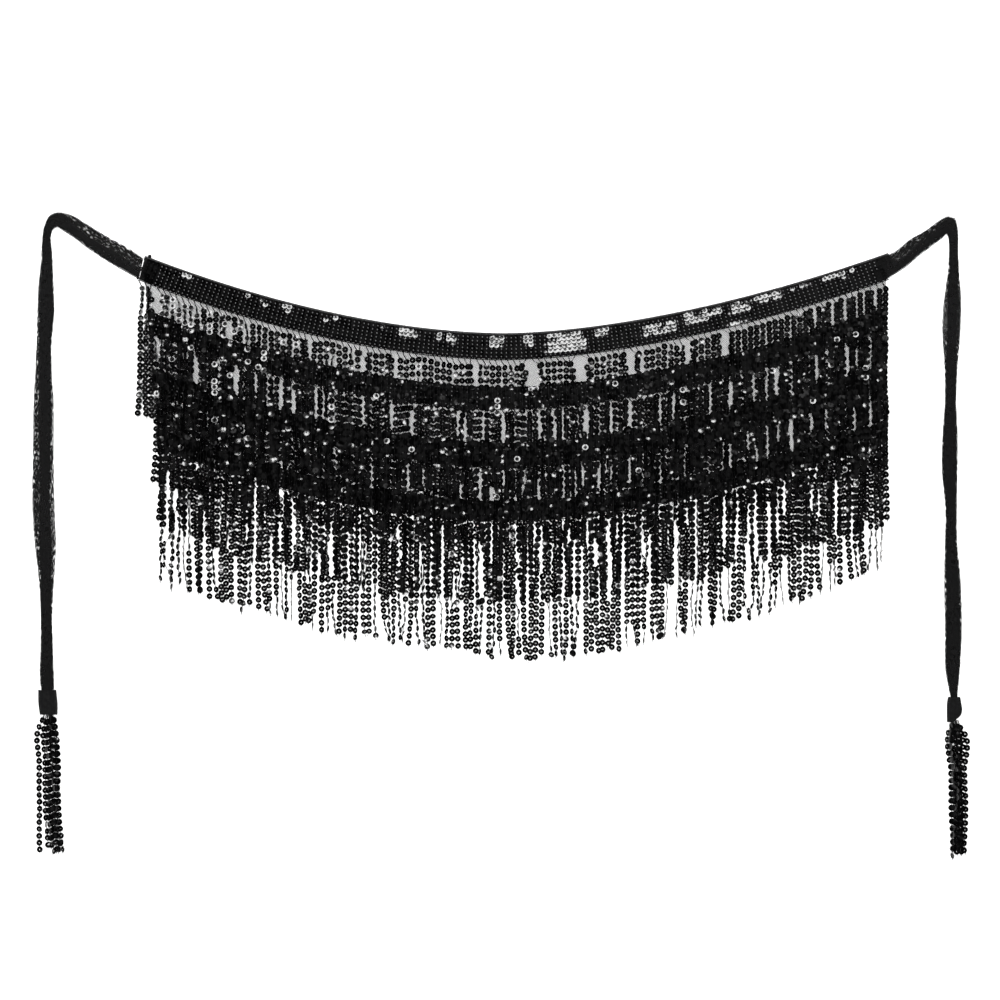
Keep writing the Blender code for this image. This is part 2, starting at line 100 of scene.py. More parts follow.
@dataclass(frozen=True)
class WaistEdge:
    """The waist edge: a shallow dip, a little steeper to its left end than to its right."""

    low_x: float = 5.5 * MM
    low_y: float = 202.0 * MM
    left: WaistSide = WaistSide(half=369.0 * MM, rise=81.0 * MM, power=1.8)
    right: WaistSide = WaistSide(half=371.0 * MM, rise=76.0 * MM, power=1.68)
    slope_reach: float = 0.5 * MM
    fine_steps: int = 3000

    def y(self, x: ndarray) -> ndarray:
        """Y of the waist edge.

        Args:
            x: Where along the belt.

        Returns:
            One y for each x.
        """
        away = np.abs(np.asarray(x, float) - self.low_x)
        left, right = (side.rise * (away / side.half) ** side.power for side in (self.left, self.right))
        return self.low_y + np.where(np.asarray(x) < self.low_x, left, right)

    def tangent(self, x: ndarray) -> ndarray:
        """Directions along the waist edge, towards +X.

        Args:
            x: Where along the belt.

        Returns:
            One unit vector for each x.
        """
        x = np.asarray(x)
        rise = self.y(x + self.slope_reach) - self.y(x - self.slope_reach)
        return unit(np.stack((np.full(x.shape, 2.0 * self.slope_reach), rise, np.zeros(x.shape)), axis=-1))

    def fine(self, left_x: float, right_x: float) -> tuple[ndarray, ndarray]:
        """Close x from one x to another, and the length of edge from each to the next."""
        x = np.linspace(left_x, right_x, self.fine_steps)
        return x, np.hypot(np.diff(x), np.diff(self.y(x)))

    def even(self, left_x: float, right_x: float, pitch: float) -> ndarray:
        """X of points that lie evenly along the waist edge.

        Args:
            left_x: Where the row starts.
            right_x: Where it may end.
            pitch: The distance from point to point along the edge.

        Returns:
            One x for each point.
        """
        fine, steps = self.fine(left_x, right_x)
        length = np.concatenate(([0.0], np.cumsum(steps)))
        return np.interp(np.arange(0.0, length[-1], pitch), length, fine)

    def length(self, left_x: float, right_x: float) -> float:
        """Length of the waist edge between two x."""
        return float(self.fine(left_x, right_x)[1].sum())


WAIST = WaistEdge()


def panel_left(drop: ndarray) -> ndarray:
    """X of the net panel's left edge at a drop."""
    return PANEL_LEFT_X + PANEL_LEFT_SLANT * drop


def waistband_left(drop: ndarray) -> ndarray:
    """X of the waistband's slanted left end at a drop."""
    return WAISTBAND_LEFT_X + WAISTBAND_LEFT_SLANT * drop


def unit(vectors: ndarray) -> ndarray:
    """Vectors scaled to length 1 along the last axis."""
    return vectors / np.linalg.norm(vectors, axis=-1, keepdims=True)


def soft_step(share: ndarray) -> ndarray:
    """A smooth step from 0 to 1 as share goes from 0 to 1."""
    share = np.clip(share, 0.0, 1.0)
    return share * share * (3.0 - 2.0 * share)


def drift(chance: Generator, lines: int, steps: int, reach: float) -> ndarray:
    """Smooth random values between -1 and 1.

    Args:
        chance: The source of random numbers.
        lines: How many independent lines of values.
        steps: How many values each line has.
        reach: Over how many steps a value changes.

    Returns:
        An array of shape (lines, steps).
    """
    knots = chance.uniform(-1.0, 1.0, (lines, int(steps / reach) + 3))
    at = np.arange(steps) / reach
    left = at.astype(int)
    share = soft_step(at - left)
    return knots[:, left] * (1.0 - share) + knots[:, left + 1] * share


def smooth_through(stations: ndarray, values: ndarray, at: ndarray) -> ndarray:
    """A smooth curve through values.

    Args:
        stations: Where the values hold, rising.
        values: One row for each station.
        at: Where the curve is wanted.

    Returns:
        One row for each entry of at.
    """
    slopes = np.gradient(values, stations, axis=0)
    left = np.clip(np.searchsorted(stations, at, side="right") - 1, 0, len(stations) - 2)
    span = (stations[left + 1] - stations[left])[:, None]
    share = ((at - stations[left]) / span[:, 0])[:, None]
    start = (1.0 + 2.0 * share) * (1.0 - share) ** 2
    leave = share * (1.0 - share) ** 2 * span
    end = share ** 2 * (3.0 - 2.0 * share)
    arrive = share ** 2 * (share - 1.0) * span
    return start * values[left] + leave * slopes[left] + end * values[left + 1] + arrive * slopes[left + 1]


def run_along(points: ndarray) -> ndarray:
    """Distances along a line of points in a plane, from its first point."""
    return np.concatenate(([0.0], np.cumsum(np.hypot(*np.diff(points, axis=0).T))))


def either_way(chance: Generator, shape: int | tuple) -> ndarray:
    """Minus one or one, at random."""
    return np.where(chance.random(shape) < 0.5, -1.0, 1.0)


@dataclass
class Gathered:
    """Points, faces and flat coordinates gathered for one joined mesh."""

    points: list[ndarray] = field(default_factory=list)
    faces: list[ndarray] = field(default_factory=list)
    flat: list[ndarray] = field(default_factory=list)
    count: int = 0

    def add(self, points: ndarray, faces: ndarray, flat: ndarray | None = None) -> None:
        """Add a patch.

        Args:
            points: The patch's points, in any shape that ends in 3.
            faces: The faces as indices into those points.
            flat: The points' places on the flat cut, in metres, if it has one.
        """
        points = points.reshape(-1, 3)
        self.points.append(points)
        self.faces.append(faces + self.count)
        self.flat.append(np.zeros((len(points), 2)) if flat is None else flat.reshape(-1, 2))
        self.count += len(points)

    def piece(self, name: str, material: Material, slot: Slot, smooth: bool = True) -> Object:
        """Make the gathered patches one piece that rides with the belt.

        Args:
            name: The piece's name.
            material: Its finish.
            slot: The record's slot for that finish; not used.
            smooth: Whether it is shaded smooth.

        Returns:
            The new object.
        """
        data = bpy.data.meshes.new(name)
        faces = [face for patch in self.faces for face in patch.tolist()]
        data.from_pydata(np.concatenate(self.points).tolist(), [], faces)
        corners = np.empty(len(data.loops), np.int32)
        data.loops.foreach_get("vertex_index", corners)
        flat = data.uv_layers.new(name="flat")
        flat.data.foreach_set("uv", np.concatenate(self.flat)[corners].astype(np.float32).ravel())
        data.polygons.foreach_set("use_smooth", np.full(len(data.polygons), smooth))
        data.materials.append(material)
        made = link(bpy.data.objects.new(name, data))
        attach(made, BODY)
        LOG.info("%s: %d points, %d faces", name, len(data.vertices), len(data.polygons))
        return made


def link(made: Object) -> Object:
    """Put an object in the scene and hand it back."""
    bpy.context.scene.collection.objects.link(made)
    return made


def sheet_faces(rows: int, columns: int, closed: bool = False) -> ndarray:
    """Faces of a sheet of rows x columns points, facing up where columns go +X and rows go -Y.

    Args:
        rows: How many rows of points.
        columns: How many points in a row.
        closed: Whether each row is a ring.

    Returns:
        Four point indices for each face.
    """
    across = columns if closed else columns - 1
    row, column = np.meshgrid(np.arange(rows - 1), np.arange(across), indexing="ij")
    following = (column + 1) % columns
    corners = (row * columns + column, (row + 1) * columns + column,
               (row + 1) * columns + following, row * columns + following)
    return np.stack(corners, axis=-1).reshape(-1, 4)


def thread(path: ndarray, radius: float, sides: int = 3, along_x: bool = False) -> tuple[ndarray, ndarray]:
    """A thin tube along a path.

    Args:
        path: The path's points.
        radius: The tube's radius.
        sides: How many sides it has.
        along_x: Whether the path runs along X, and not along Y.

    Returns:
        The tube's points and its faces.
    """
    angles = round_turn(sides) + math.pi / 2.0
    ring = np.zeros((sides, 3))
    ring[:, 1 if along_x else 0] = radius * np.cos(angles)
    ring[:, 2] = radius * np.sin(angles)
    return path[:, None, :] + ring, sheet_faces(len(path), sides, closed=True)


def round_turn(steps: int) -> ndarray:
    """Even angles round a full turn, in radians."""
    return 2.0 * math.pi * np.arange(steps) / steps


class Nodes:
    """The nodes of one material, with short calls to add and wire them."""

    def __init__(self, name: str) -> None:
        """Start a material with a Principled shader.

        Args:
            name: The material's name.
        """
        self.material = bpy.data.materials.new(name)
        self.material.use_nodes = True
        self.tree = self.material.node_tree
        self.shader = self.tree.nodes["Principled BSDF"]

    def add(self, kind: str, **settings: object) -> Node:
        """Add a node.

        Args:
            kind: The node's type.
            settings: Its settings by name.

        Returns:
            The new node.
        """
        node = self.tree.nodes.new(kind)
        for name, value in settings.items():
            setattr(node, name, value)
        return node

    def wire(self, source: NodeSocket, target: NodeSocket) -> None:
        """Wire a socket to another."""
        self.tree.links.new(source, target)

    def shade(self, amounts: dict[str, float | NodeSocket]) -> None:
        """Set or wire inputs of the shader.

        Args:
            amounts: A number or another node's result for each input, by its name.
        """
        for name, amount in amounts.items():
            if isinstance(amount, NodeSocket):
                self.wire(amount, self.shader.inputs[name])
            else:
                self.shader.inputs[name].default_value = amount

    def math(self, operation: str, first: NodeSocket,
             second: NodeSocket | float) -> NodeSocket:
        """Add a Math node.

        Args:
            operation: What it works out.
            first: Its first value.
            second: Its second value, wired or set.

        Returns:
            Its result.
        """
        node = self.add("ShaderNodeMath", operation=operation)
        self.wire(first, node.inputs[0])
        if isinstance(second, NodeSocket):
            self.wire(second, node.inputs[1])
        else:
            node.inputs[1].default_value = second
        return node.outputs[0]

    def remap(self, value: NodeSocket, low: float, high: float,
              to_low: float, to_high: float) -> NodeSocket:
        """Add a Map Range node.

        Args:
            value: What is mapped.
            low: The value that becomes to_low.
            high: The value that becomes to_high.
            to_low: The result at low.
            to_high: The result at high.

        Returns:
            Its result.
        """
        node = self.add("ShaderNodeMapRange")
        for socket, amount in zip(node.inputs[1:5], (low, high, to_low, to_high)):
            socket.default_value = amount
        self.wire(value, node.inputs[0])
        return node.outputs[0]

    def blend(self, share: NodeSocket, low: tuple, high: tuple) -> NodeSocket:
        """Add a blend between two colours.

        Args:
            share: How far it is from the first to the second.
            low: The first colour.
            high: The second colour.

        Returns:
            The blended colour.
        """
        node = self.add("ShaderNodeMix", data_type="RGBA")
        node.inputs["A"].default_value = (*low, 1.0)
        node.inputs["B"].default_value = (*high, 1.0)
        self.wire(share, node.inputs["Factor"])
        return node.outputs["Result"]

    def noise(self, scale: float, detail: float = 2.0, stretch: tuple = (1.0, 1.0, 1.0),
              place_by: str = "Object") -> NodeSocket:
        """Add noise over the piece or its flat cut.

        Args:
            scale: How many blotches there are to a metre.
            detail: How many finer layers of noise it has.
            stretch: How much denser it is along each axis.
            place_by: The coordinates it lies in: Object for the piece, UV for the flat cut.

        Returns:
            Its value.
        """
        place = self.add("ShaderNodeTexCoord")
        mapping = self.add("ShaderNodeMapping")
        mapping.inputs["Scale"].default_value = stretch
        noise = self.add("ShaderNodeTexNoise")
        noise.inputs["Scale"].default_value = scale
        noise.inputs["Detail"].default_value = detail
        self.wire(place.outputs[place_by], mapping.inputs["Vector"])
        self.wire(mapping.outputs["Vector"], noise.inputs["Vector"])
        return noise.outputs[0]

    def bump(self, height: NodeSocket, strength: float, depth: float) -> None:
        """Raise the surface.

        Args:
            height: How high it is at each place, from 0 to 1.
            strength: How strongly it shows.
            depth: The depth of a height of 1, in metres.
        """
        node = self.add("ShaderNodeBump")
        node.inputs["Strength"].default_value = strength
        node.inputs["Distance"].default_value = depth
        self.wire(height, node.inputs["Height"])
        self.wire(node.outputs["Normal"], self.shader.inputs["Normal"])

    def cloth_lines(self, pitch: float, turned: float) -> list[NodeSocket]:
        """Distances to the nearest thread of two crossing sets, on the flat cut.

        Args:
            pitch: The distance between threads.
            turned: The angle of the threads to the cut, in radians.

        Returns:
            The distance for each of the two sets, from 0 to half the pitch.
        """
        place = self.add("ShaderNodeTexCoord")
        mapping = self.add("ShaderNodeMapping")
        mapping.inputs["Rotation"].default_value = (0.0, 0.0, turned)
        parts = self.add("ShaderNodeSeparateXYZ")
        self.wire(place.outputs["UV"], mapping.inputs["Vector"])
        self.wire(mapping.outputs["Vector"], parts.inputs[0])
        return [self.math("PINGPONG", part, pitch / 2.0) for part in parts.outputs[:2]]


@dataclass(frozen=True)
class NetFinish:
    """Fine nylon net: crossing threads with open holes between them, pulled apart in streaks."""

    name: str = "fine_net"
    pitch: float = 1.1 * MM
    width: float = 0.385 * MM
    turned: float = math.radians(38.0)
    dark: tuple = (0.001, 0.001, 0.0011)
    light: tuple = (0.006, 0.006, 0.0062)
    mottle: float = 700.0
    roughness: float = 0.7
    gloss: float = 0.5
    sheen: float = 0.03
    relief: float = 0.1 * MM
    relief_strength: float = 0.6
    thread_edges: tuple = (0.42, 0.58)
    streaks: float = 0.0
    streak_scale: tuple = (150.0, 22.0, 1.0)
    streak_edges: tuple = (0.36, 0.56)
    streak_least: float = 0.15
    dash_scale: tuple = (950.0, 210.0, 1.0)
    dash_edges: tuple = (0.4, 0.58)

    def material(self) -> Material:
        """Make the net.

        Returns:
            Threads of uneven grey, see-through between them.
        """
        nodes = Nodes(self.name)
        nearest = nodes.math("MINIMUM", *nodes.cloth_lines(self.pitch, self.turned))
        dashes = nodes.noise(1.0, 2.0, self.dash_scale, "UV")
        dashes = nodes.remap(dashes, *self.dash_edges, -self.streaks, self.streaks)
        broad = nodes.noise(1.0, 2.0, self.streak_scale, "UV")
        broad = nodes.remap(broad, *self.streak_edges, self.streak_least, 1.0)
        pulled = nodes.math("MULTIPLY", nodes.math("MULTIPLY", dashes, broad), self.width * 0.5)
        apart = nodes.math("SUBTRACT", nearest, pulled)
        solid, open_hole = (self.width * share for share in self.thread_edges)
        nodes.shade({
            "Alpha": nodes.remap(apart, solid, open_hole, 1.0, 0.0),
            "Base Color": nodes.blend(nodes.noise(self.mottle), self.dark, self.light),
            "Roughness": self.roughness,
            "Specular IOR Level": self.gloss,
            "Sheen Weight": self.sheen,
        })
        crown = nodes.remap(nearest, 0.0, self.width * 0.5, 1.0, 0.0)
        nodes.bump(crown, self.relief_strength, self.relief)
        return nodes.material


@dataclass(frozen=True)
class WovenFinish:
    """Woven or knitted cloth: close crossing threads, some sheen, uneven dye."""

    name: str
    dark: tuple
    light: tuple
    pitch: float = 0.5 * MM
    turned: float = 0.0
    relief: float = 0.12 * MM
    relief_strength: float = 0.7
    mottle: float = 160.0
    roughness: tuple = (0.65, 0.9)
    wear: float = 300.0
    wear_edges: tuple = (0.3, 0.7)
    gloss: float = 0.25
    sheen: float = 0.03

    def material(self) -> Material:
        """Make the cloth.

        Returns:
            Close threads as fine relief over an uneven dark dye.
        """
        nodes = Nodes(self.name)
        crown = nodes.math("MAXIMUM", *nodes.cloth_lines(self.pitch, self.turned))
        thread_light = nodes.remap(crown, 0.0, self.pitch / 2.0, 0.0, 1.0)
        patchy = nodes.math("MULTIPLY", nodes.noise(self.mottle, 3.0), thread_light)
        nodes.shade({
            "Base Color": nodes.blend(patchy, self.dark, self.light),
            "Roughness": nodes.remap(nodes.noise(self.wear), *self.wear_edges, *self.roughness),
            "Sheen Weight": self.sheen,
            "Specular IOR Level": self.gloss,
        })
        nodes.bump(thread_light, self.relief_strength, self.relief)
        return nodes.material


@dataclass(frozen=True)
class SequinFinish:
    """Glossy black plastic film, a little different on each sequin."""

    name: str
    dark: tuple = (0.0001, 0.0001, 0.00012)
    light: tuple = (0.0014, 0.0014, 0.0015)
    roughness: tuple = (0.1, 0.22)
    scuffs: float = 420.0
    scuff_edges: tuple = (0.35, 0.7)
    dents: float = 700.0
    dent_depth: float = 0.1 * MM
    dent_strength: float = 0.15
    refraction: float = 1.36

    def material(self) -> Material:
        """Make the film.

        Returns:
            Glossy film with faint scuffs and dents.
        """
        nodes = Nodes(self.name)
        island = nodes.add("ShaderNodeNewGeometry").outputs["Random Per Island"]
        nodes.shade({
            "Base Color": nodes.blend(island, self.dark, self.light),
            "Roughness": nodes.remap(nodes.noise(self.scuffs, 3.0), *self.scuff_edges, *self.roughness),
            "IOR": self.refraction,
        })
        nodes.bump(nodes.noise(self.dents), self.dent_strength, self.dent_depth)
        return nodes.material


@dataclass(frozen=True)
class ThreadFinish:
    """Twisted sewing thread."""

    name: str
    dark: tuple
    light: tuple
    twist: float = 900.0
    twist_stretch: tuple = (1.0, 0.35, 1.0)
    twist_depth: float = 0.05 * MM
    twist_strength: float = 0.5
    roughness: tuple = (0.6, 0.85)
    wear: float = 250.0
    wear_edges: tuple = (0.3, 0.7)
    gloss: float = 0.2

    def material(self) -> Material:
        """Make the thread.

        Returns:
            Matt thread with a fine twist.
        """
        nodes = Nodes(self.name)
        twist = nodes.noise(self.twist, stretch=self.twist_stretch)
        nodes.shade({
            "Base Color": nodes.blend(twist, self.dark, self.light),
            "Roughness": nodes.remap(nodes.noise(self.wear), *self.wear_edges, *self.roughness),
            "Specular IOR Level": self.gloss,
        })
        nodes.bump(twist, self.twist_strength, self.twist_depth)
        return nodes.material


@dataclass(frozen=True)
class FloorFinish:
    """Pale matt paper under the belt."""

    name: str = "pale_floor"
    dark: tuple = (0.8471, 0.8471, 0.8471)
    light: tuple = (0.86, 0.86, 0.86)
    clouds: float = 3.0
    tooth: float = 800.0
    tooth_depth: float = 0.05 * MM
    tooth_strength: float = 0.1
    roughness: float = 0.95
    gloss: float = 0.1

    def material(self) -> Material:
        """Make the paper.

        Returns:
            Pale paper with the faintest tooth.
        """
        nodes = Nodes(self.name)
        nodes.shade({
            "Base Color": nodes.blend(nodes.noise(self.clouds), self.dark, self.light),
            "Roughness": self.roughness,
            "Specular IOR Level": self.gloss,
        })
        nodes.bump(nodes.noise(self.tooth), self.tooth_strength, self.tooth_depth)
        return nodes.material


class Finishes:
    """Every finish of the belt, made once."""

    def __init__(self) -> None:
        """Make the materials."""
        self.net = NetFinish().material()
        self.tie_net = NetFinish(
            "folded_net", light=(0.007, 0.007, 0.0071), streaks=0.95, gloss=0.12).material()
        self.tape = WovenFinish(
            "binding_tape", (0.012, 0.012, 0.0122), (0.075, 0.075, 0.076), 0.45 * MM, 0.3).material()
        self.band_cloth = WovenFinish(
            "band_cloth", (0.0003, 0.0003, 0.00035), (0.0015, 0.0015, 0.0016), 0.6 * MM, 0.5).material()
        self.cuff_knit = WovenFinish(
            "cuff_knit", (0.0005, 0.0005, 0.0006), (0.003, 0.003, 0.0032), 0.9 * MM,
            relief=0.25 * MM).material()
        self.sewn = SequinFinish("sewn_sequins").material()
        self.strung = SequinFinish("strung_sequins").material()
        self.waist_stitch = ThreadFinish(
            "waist_stitch_thread", (0.06, 0.06, 0.061), (0.14, 0.14, 0.142)).material()
        self.stitch = ThreadFinish("stitch_thread", (0.05, 0.05, 0.051), (0.13, 0.13, 0.132)).material()
        self.string = ThreadFinish("string_thread", (0.001, 0.001, 0.0011), (0.004, 0.004, 0.0042)).material()


@dataclass(frozen=True)
class Softbox:
    """A soft light over the belt: where it hangs, its side and its power."""

    name: str
    azimuth: float
    off_zenith: float
    distance: float
    side: float
    power: float

    def spot(self, aim: ndarray) -> ndarray:
        """Where it hangs.

        Args:
            aim: The point it is turned to.

        Returns:
            Its place.
        """
        azimuth, off = math.radians(self.azimuth), math.radians(self.off_zenith)
        away = np.array((math.cos(azimuth) * math.sin(off), math.sin(azimuth) * math.sin(off), math.cos(off)))
        return aim + away * self.distance


@dataclass(frozen=True)
class Studio:
    """Floor, light and camera: a pale floor, softboxes, and a camera straight above the belt."""

    aim: tuple = (0.5 * MM, 35.0 * MM, 3.0 * MM)
    picture_width: float = 1.0
    lens: float = 100.0
    sensor: float = 36.0
    floor_side: float = 40.0
    key: Softbox = Softbox("key", 100.0, 42.0, 3.2, 0.8, 80.0)
    fill_azimuths: tuple = (118.0, 62.0, 242.0, 298.0)
    fill_off_zenith: float = 66.0
    fill_distance: float = 4.0
    fill_side: float = 2.4
    fill_power: float = 30.0
    overhead_power: float = 3.7
    overhead_spread: float = 5.0
    sky_edges: tuple = (0.93, 0.993)
    sky_greys: tuple = (0.015, 0.4)

    def eye(self) -> ndarray:
        """Where the camera stands."""
        return np.array(self.aim) + UP * (self.picture_width * self.lens / self.sensor)

    def glint_face(self, points: ndarray) -> ndarray:
        """The way a flat sequin faces when it throws the key light straight up to the eye.

        Args:
            points: Where the sequins lie.

        Returns:
            A unit vector for each point.
        """
        lamp = self.key.spot(np.array(self.aim))
        return unit(unit(lamp - points) + unit(self.eye() - points))

    def build(self) -> None:
        """Lay the floor, hang the lights, place the camera and set the sky."""
        self.lay_floor()
        self.hang(self.key)
        for number, azimuth in enumerate(self.fill_azimuths, 1):
            self.hang(Softbox(f"fill_{number}", azimuth, self.fill_off_zenith, self.fill_distance,
                              self.fill_side, self.fill_power))
        self.hang_overhead()
        self.place_camera()
        self.set_sky()
        bpy.context.scene.view_settings.view_transform = "Standard"

    def lay_floor(self) -> None:
        """Lay a wide pale floor just under the belt."""
        half = self.floor_side / 2.0
        corners = [(x, y, 0.0) for y in (half, -half) for x in (-half, half)]
        data = bpy.data.meshes.new("floor")
        data.from_pydata(corners, [], sheet_faces(2, 2).tolist())
        data.materials.append(FloorFinish().material())
        floor = link(bpy.data.objects.new("floor", data))

    def hang(self, softbox: Softbox) -> None:
        """Hang a softbox and point it at the belt.

        Args:
            softbox: The light to hang.
        """
        lamp = bpy.data.lights.new(softbox.name, "AREA")
        lamp.shape = "SQUARE"
        lamp.size = softbox.side
        lamp.energy = softbox.power
        made = link(bpy.data.objects.new(softbox.name, lamp))
        made.location = softbox.spot(np.array(self.aim))
        made.rotation_euler = (0.0, math.radians(softbox.off_zenith), math.radians(softbox.azimuth))

    def hang_overhead(self) -> None:
        """Hang a far light that fills the net's holes and leaves no reflection in the sequins."""
        lamp = bpy.data.lights.new("overhead", "SUN")
        lamp.energy = self.overhead_power
        lamp.angle = math.radians(self.overhead_spread)
        made = link(bpy.data.objects.new("overhead", lamp))
        made.visible_glossy = False

    def place_camera(self) -> None:
        """Place a camera straight above the belt, with +Y up in the picture."""
        data = bpy.data.cameras.new("camera")
        data.lens = self.lens
        data.sensor_width = self.sensor
        camera = link(bpy.data.objects.new("camera", data))
        camera.location = self.eye()
        bpy.context.scene.camera = camera

    def set_sky(self) -> None:
        """Set a dim room, a little paler overhead, so that glossy black stays black."""
        world = bpy.data.worlds.new("room")
        world.use_nodes = True
        tree = world.node_tree
        place = tree.nodes.new("ShaderNodeTexCoord")
        parts = tree.nodes.new("ShaderNodeSeparateXYZ")
        ramp = tree.nodes.new("ShaderNodeValToRGB")
        for stop, position, grey in zip(ramp.color_ramp.elements, self.sky_edges, self.sky_greys):
            stop.position = position
            stop.color = (grey, grey, grey, 1.0)
        tree.links.new(place.outputs["Generated"], parts.inputs[0])
        tree.links.new(parts.outputs[2], ramp.inputs[0])
        tree.links.new(ramp.outputs[0], tree.nodes["Background"].inputs[0])
        bpy.context.scene.world = world


@dataclass(frozen=True)
class Sequin:
    """A round cup sequin: a dished ring with a hole."""

    outer: float
    hole: float
    bend: float
    depth: float
    sides: int
    bend_share: float = 0.2

    def template(self) -> tuple[ndarray, ndarray]:
        """One sequin.

        Returns:
            Its points as (across, down, out of its face) and its faces.
        """
        angles = round_turn(self.sides)
        profile = ((self.hole, 0.0), (self.bend, self.depth * self.bend_share), (self.outer, self.depth))
        rings = [np.stack((radius * np.cos(angles), radius * np.sin(angles), np.full(self.sides, height)), -1)
                 for radius, height in profile]
        return np.concatenate(rings), sheet_faces(len(rings), self.sides, closed=True)

    def add_many(self, gathered: Gathered, centres: ndarray, across: ndarray, down: ndarray,
                 dish: ndarray) -> None:
        """Add a sequin at each centre.

        Args:
            gathered: The mesh they are added to.
            centres: Their middles.
            across: Unit vectors across them.
            down: Unit vectors down them.
            dish: How deep each is, as a share of the sequin's depth.
        """
        points, faces = self.template()
        out = np.cross(down, across)
        placed = (centres[:, None, :] + points[None, :, 0:1] * across[:, None, :]
                  + points[None, :, 1:2] * down[:, None, :]
                  + points[None, :, 2:3] * dish[:, None, None] * out[:, None, :])
        many = faces[None] + (np.arange(len(centres)) * len(points))[:, None, None]
        gathered.add(placed, many.reshape(-1, 4))

    def lift(self, across: ndarray, down: ndarray) -> ndarray:
        """How high the middle of a sequin that lies this way stands over its lowest point."""
        return self.outer * np.hypot(across[..., 2], down[..., 2])


STRUNG_SEQUIN = Sequin(3.15 * MM, 0.66 * MM, bend=1.9 * MM, depth=0.45 * MM, sides=12)
FLAT_STRUNG_SEQUIN = Sequin(3.1 * MM, 0.66 * MM, bend=0.95 * MM, depth=0.22 * MM, sides=12, bend_share=0.9)
SEWN_SEQUIN = Sequin(2.85 * MM, 0.55 * MM, bend=1.5 * MM, depth=0.14 * MM, sides=10)
FLAT_SEWN_SEQUIN = Sequin(2.85 * MM, 0.55 * MM, bend=0.72 * MM, depth=0.07 * MM, sides=10, bend_share=0.9)


def frame_to(down: ndarray, out: ndarray) -> tuple[ndarray, ndarray]:
    """Across and down vectors of sequins that face a given way and hang a given way.

    Args:
        down: The way each hangs.
        out: The way each faces.

    Returns:
        Unit vectors across and down each sequin.
    """
    down = unit(down - out * (down * out).sum(-1, keepdims=True))
    return np.cross(out, down), down


@dataclass(frozen=True)
class NetPanel:
    """The panel of net that everything is sewn on."""

    columns: int = 150
    rows: int = 30
    ripple: float = 0.25 * MM
    ripple_reach: float = 5.0
    under_binding: float = 0.7
    seed: int = 11

    def build(self, finishes: Finishes) -> Object:
        """Lay the net flat with the slightest ripple.

        Args:
            finishes: The belt's finishes.

        Returns:
            The net.
        """
        drops = np.linspace(BINDING_DEPTH * self.under_binding, PANEL_BOTTOM, self.rows)[:, None]
        left = panel_left(drops)
        x = left + (PANEL_RIGHT_X - left) * np.linspace(0.0, 1.0, self.columns)[None, :]
        chance = np.random.default_rng(self.seed)
        ripple = drift(chance, self.rows, self.columns, self.ripple_reach) * self.ripple
        gathered = Gathered()
        gathered.add(np.stack((x, WAIST.y(x) - drops, NET_HEIGHT + ripple), -1),
                     sheet_faces(self.rows, self.columns), np.stack((x, drops + np.zeros_like(x)), -1))
        net = gathered.piece("net_panel_cloth", finishes.net, Slot.NET)
        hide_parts("net_panel")
        return net


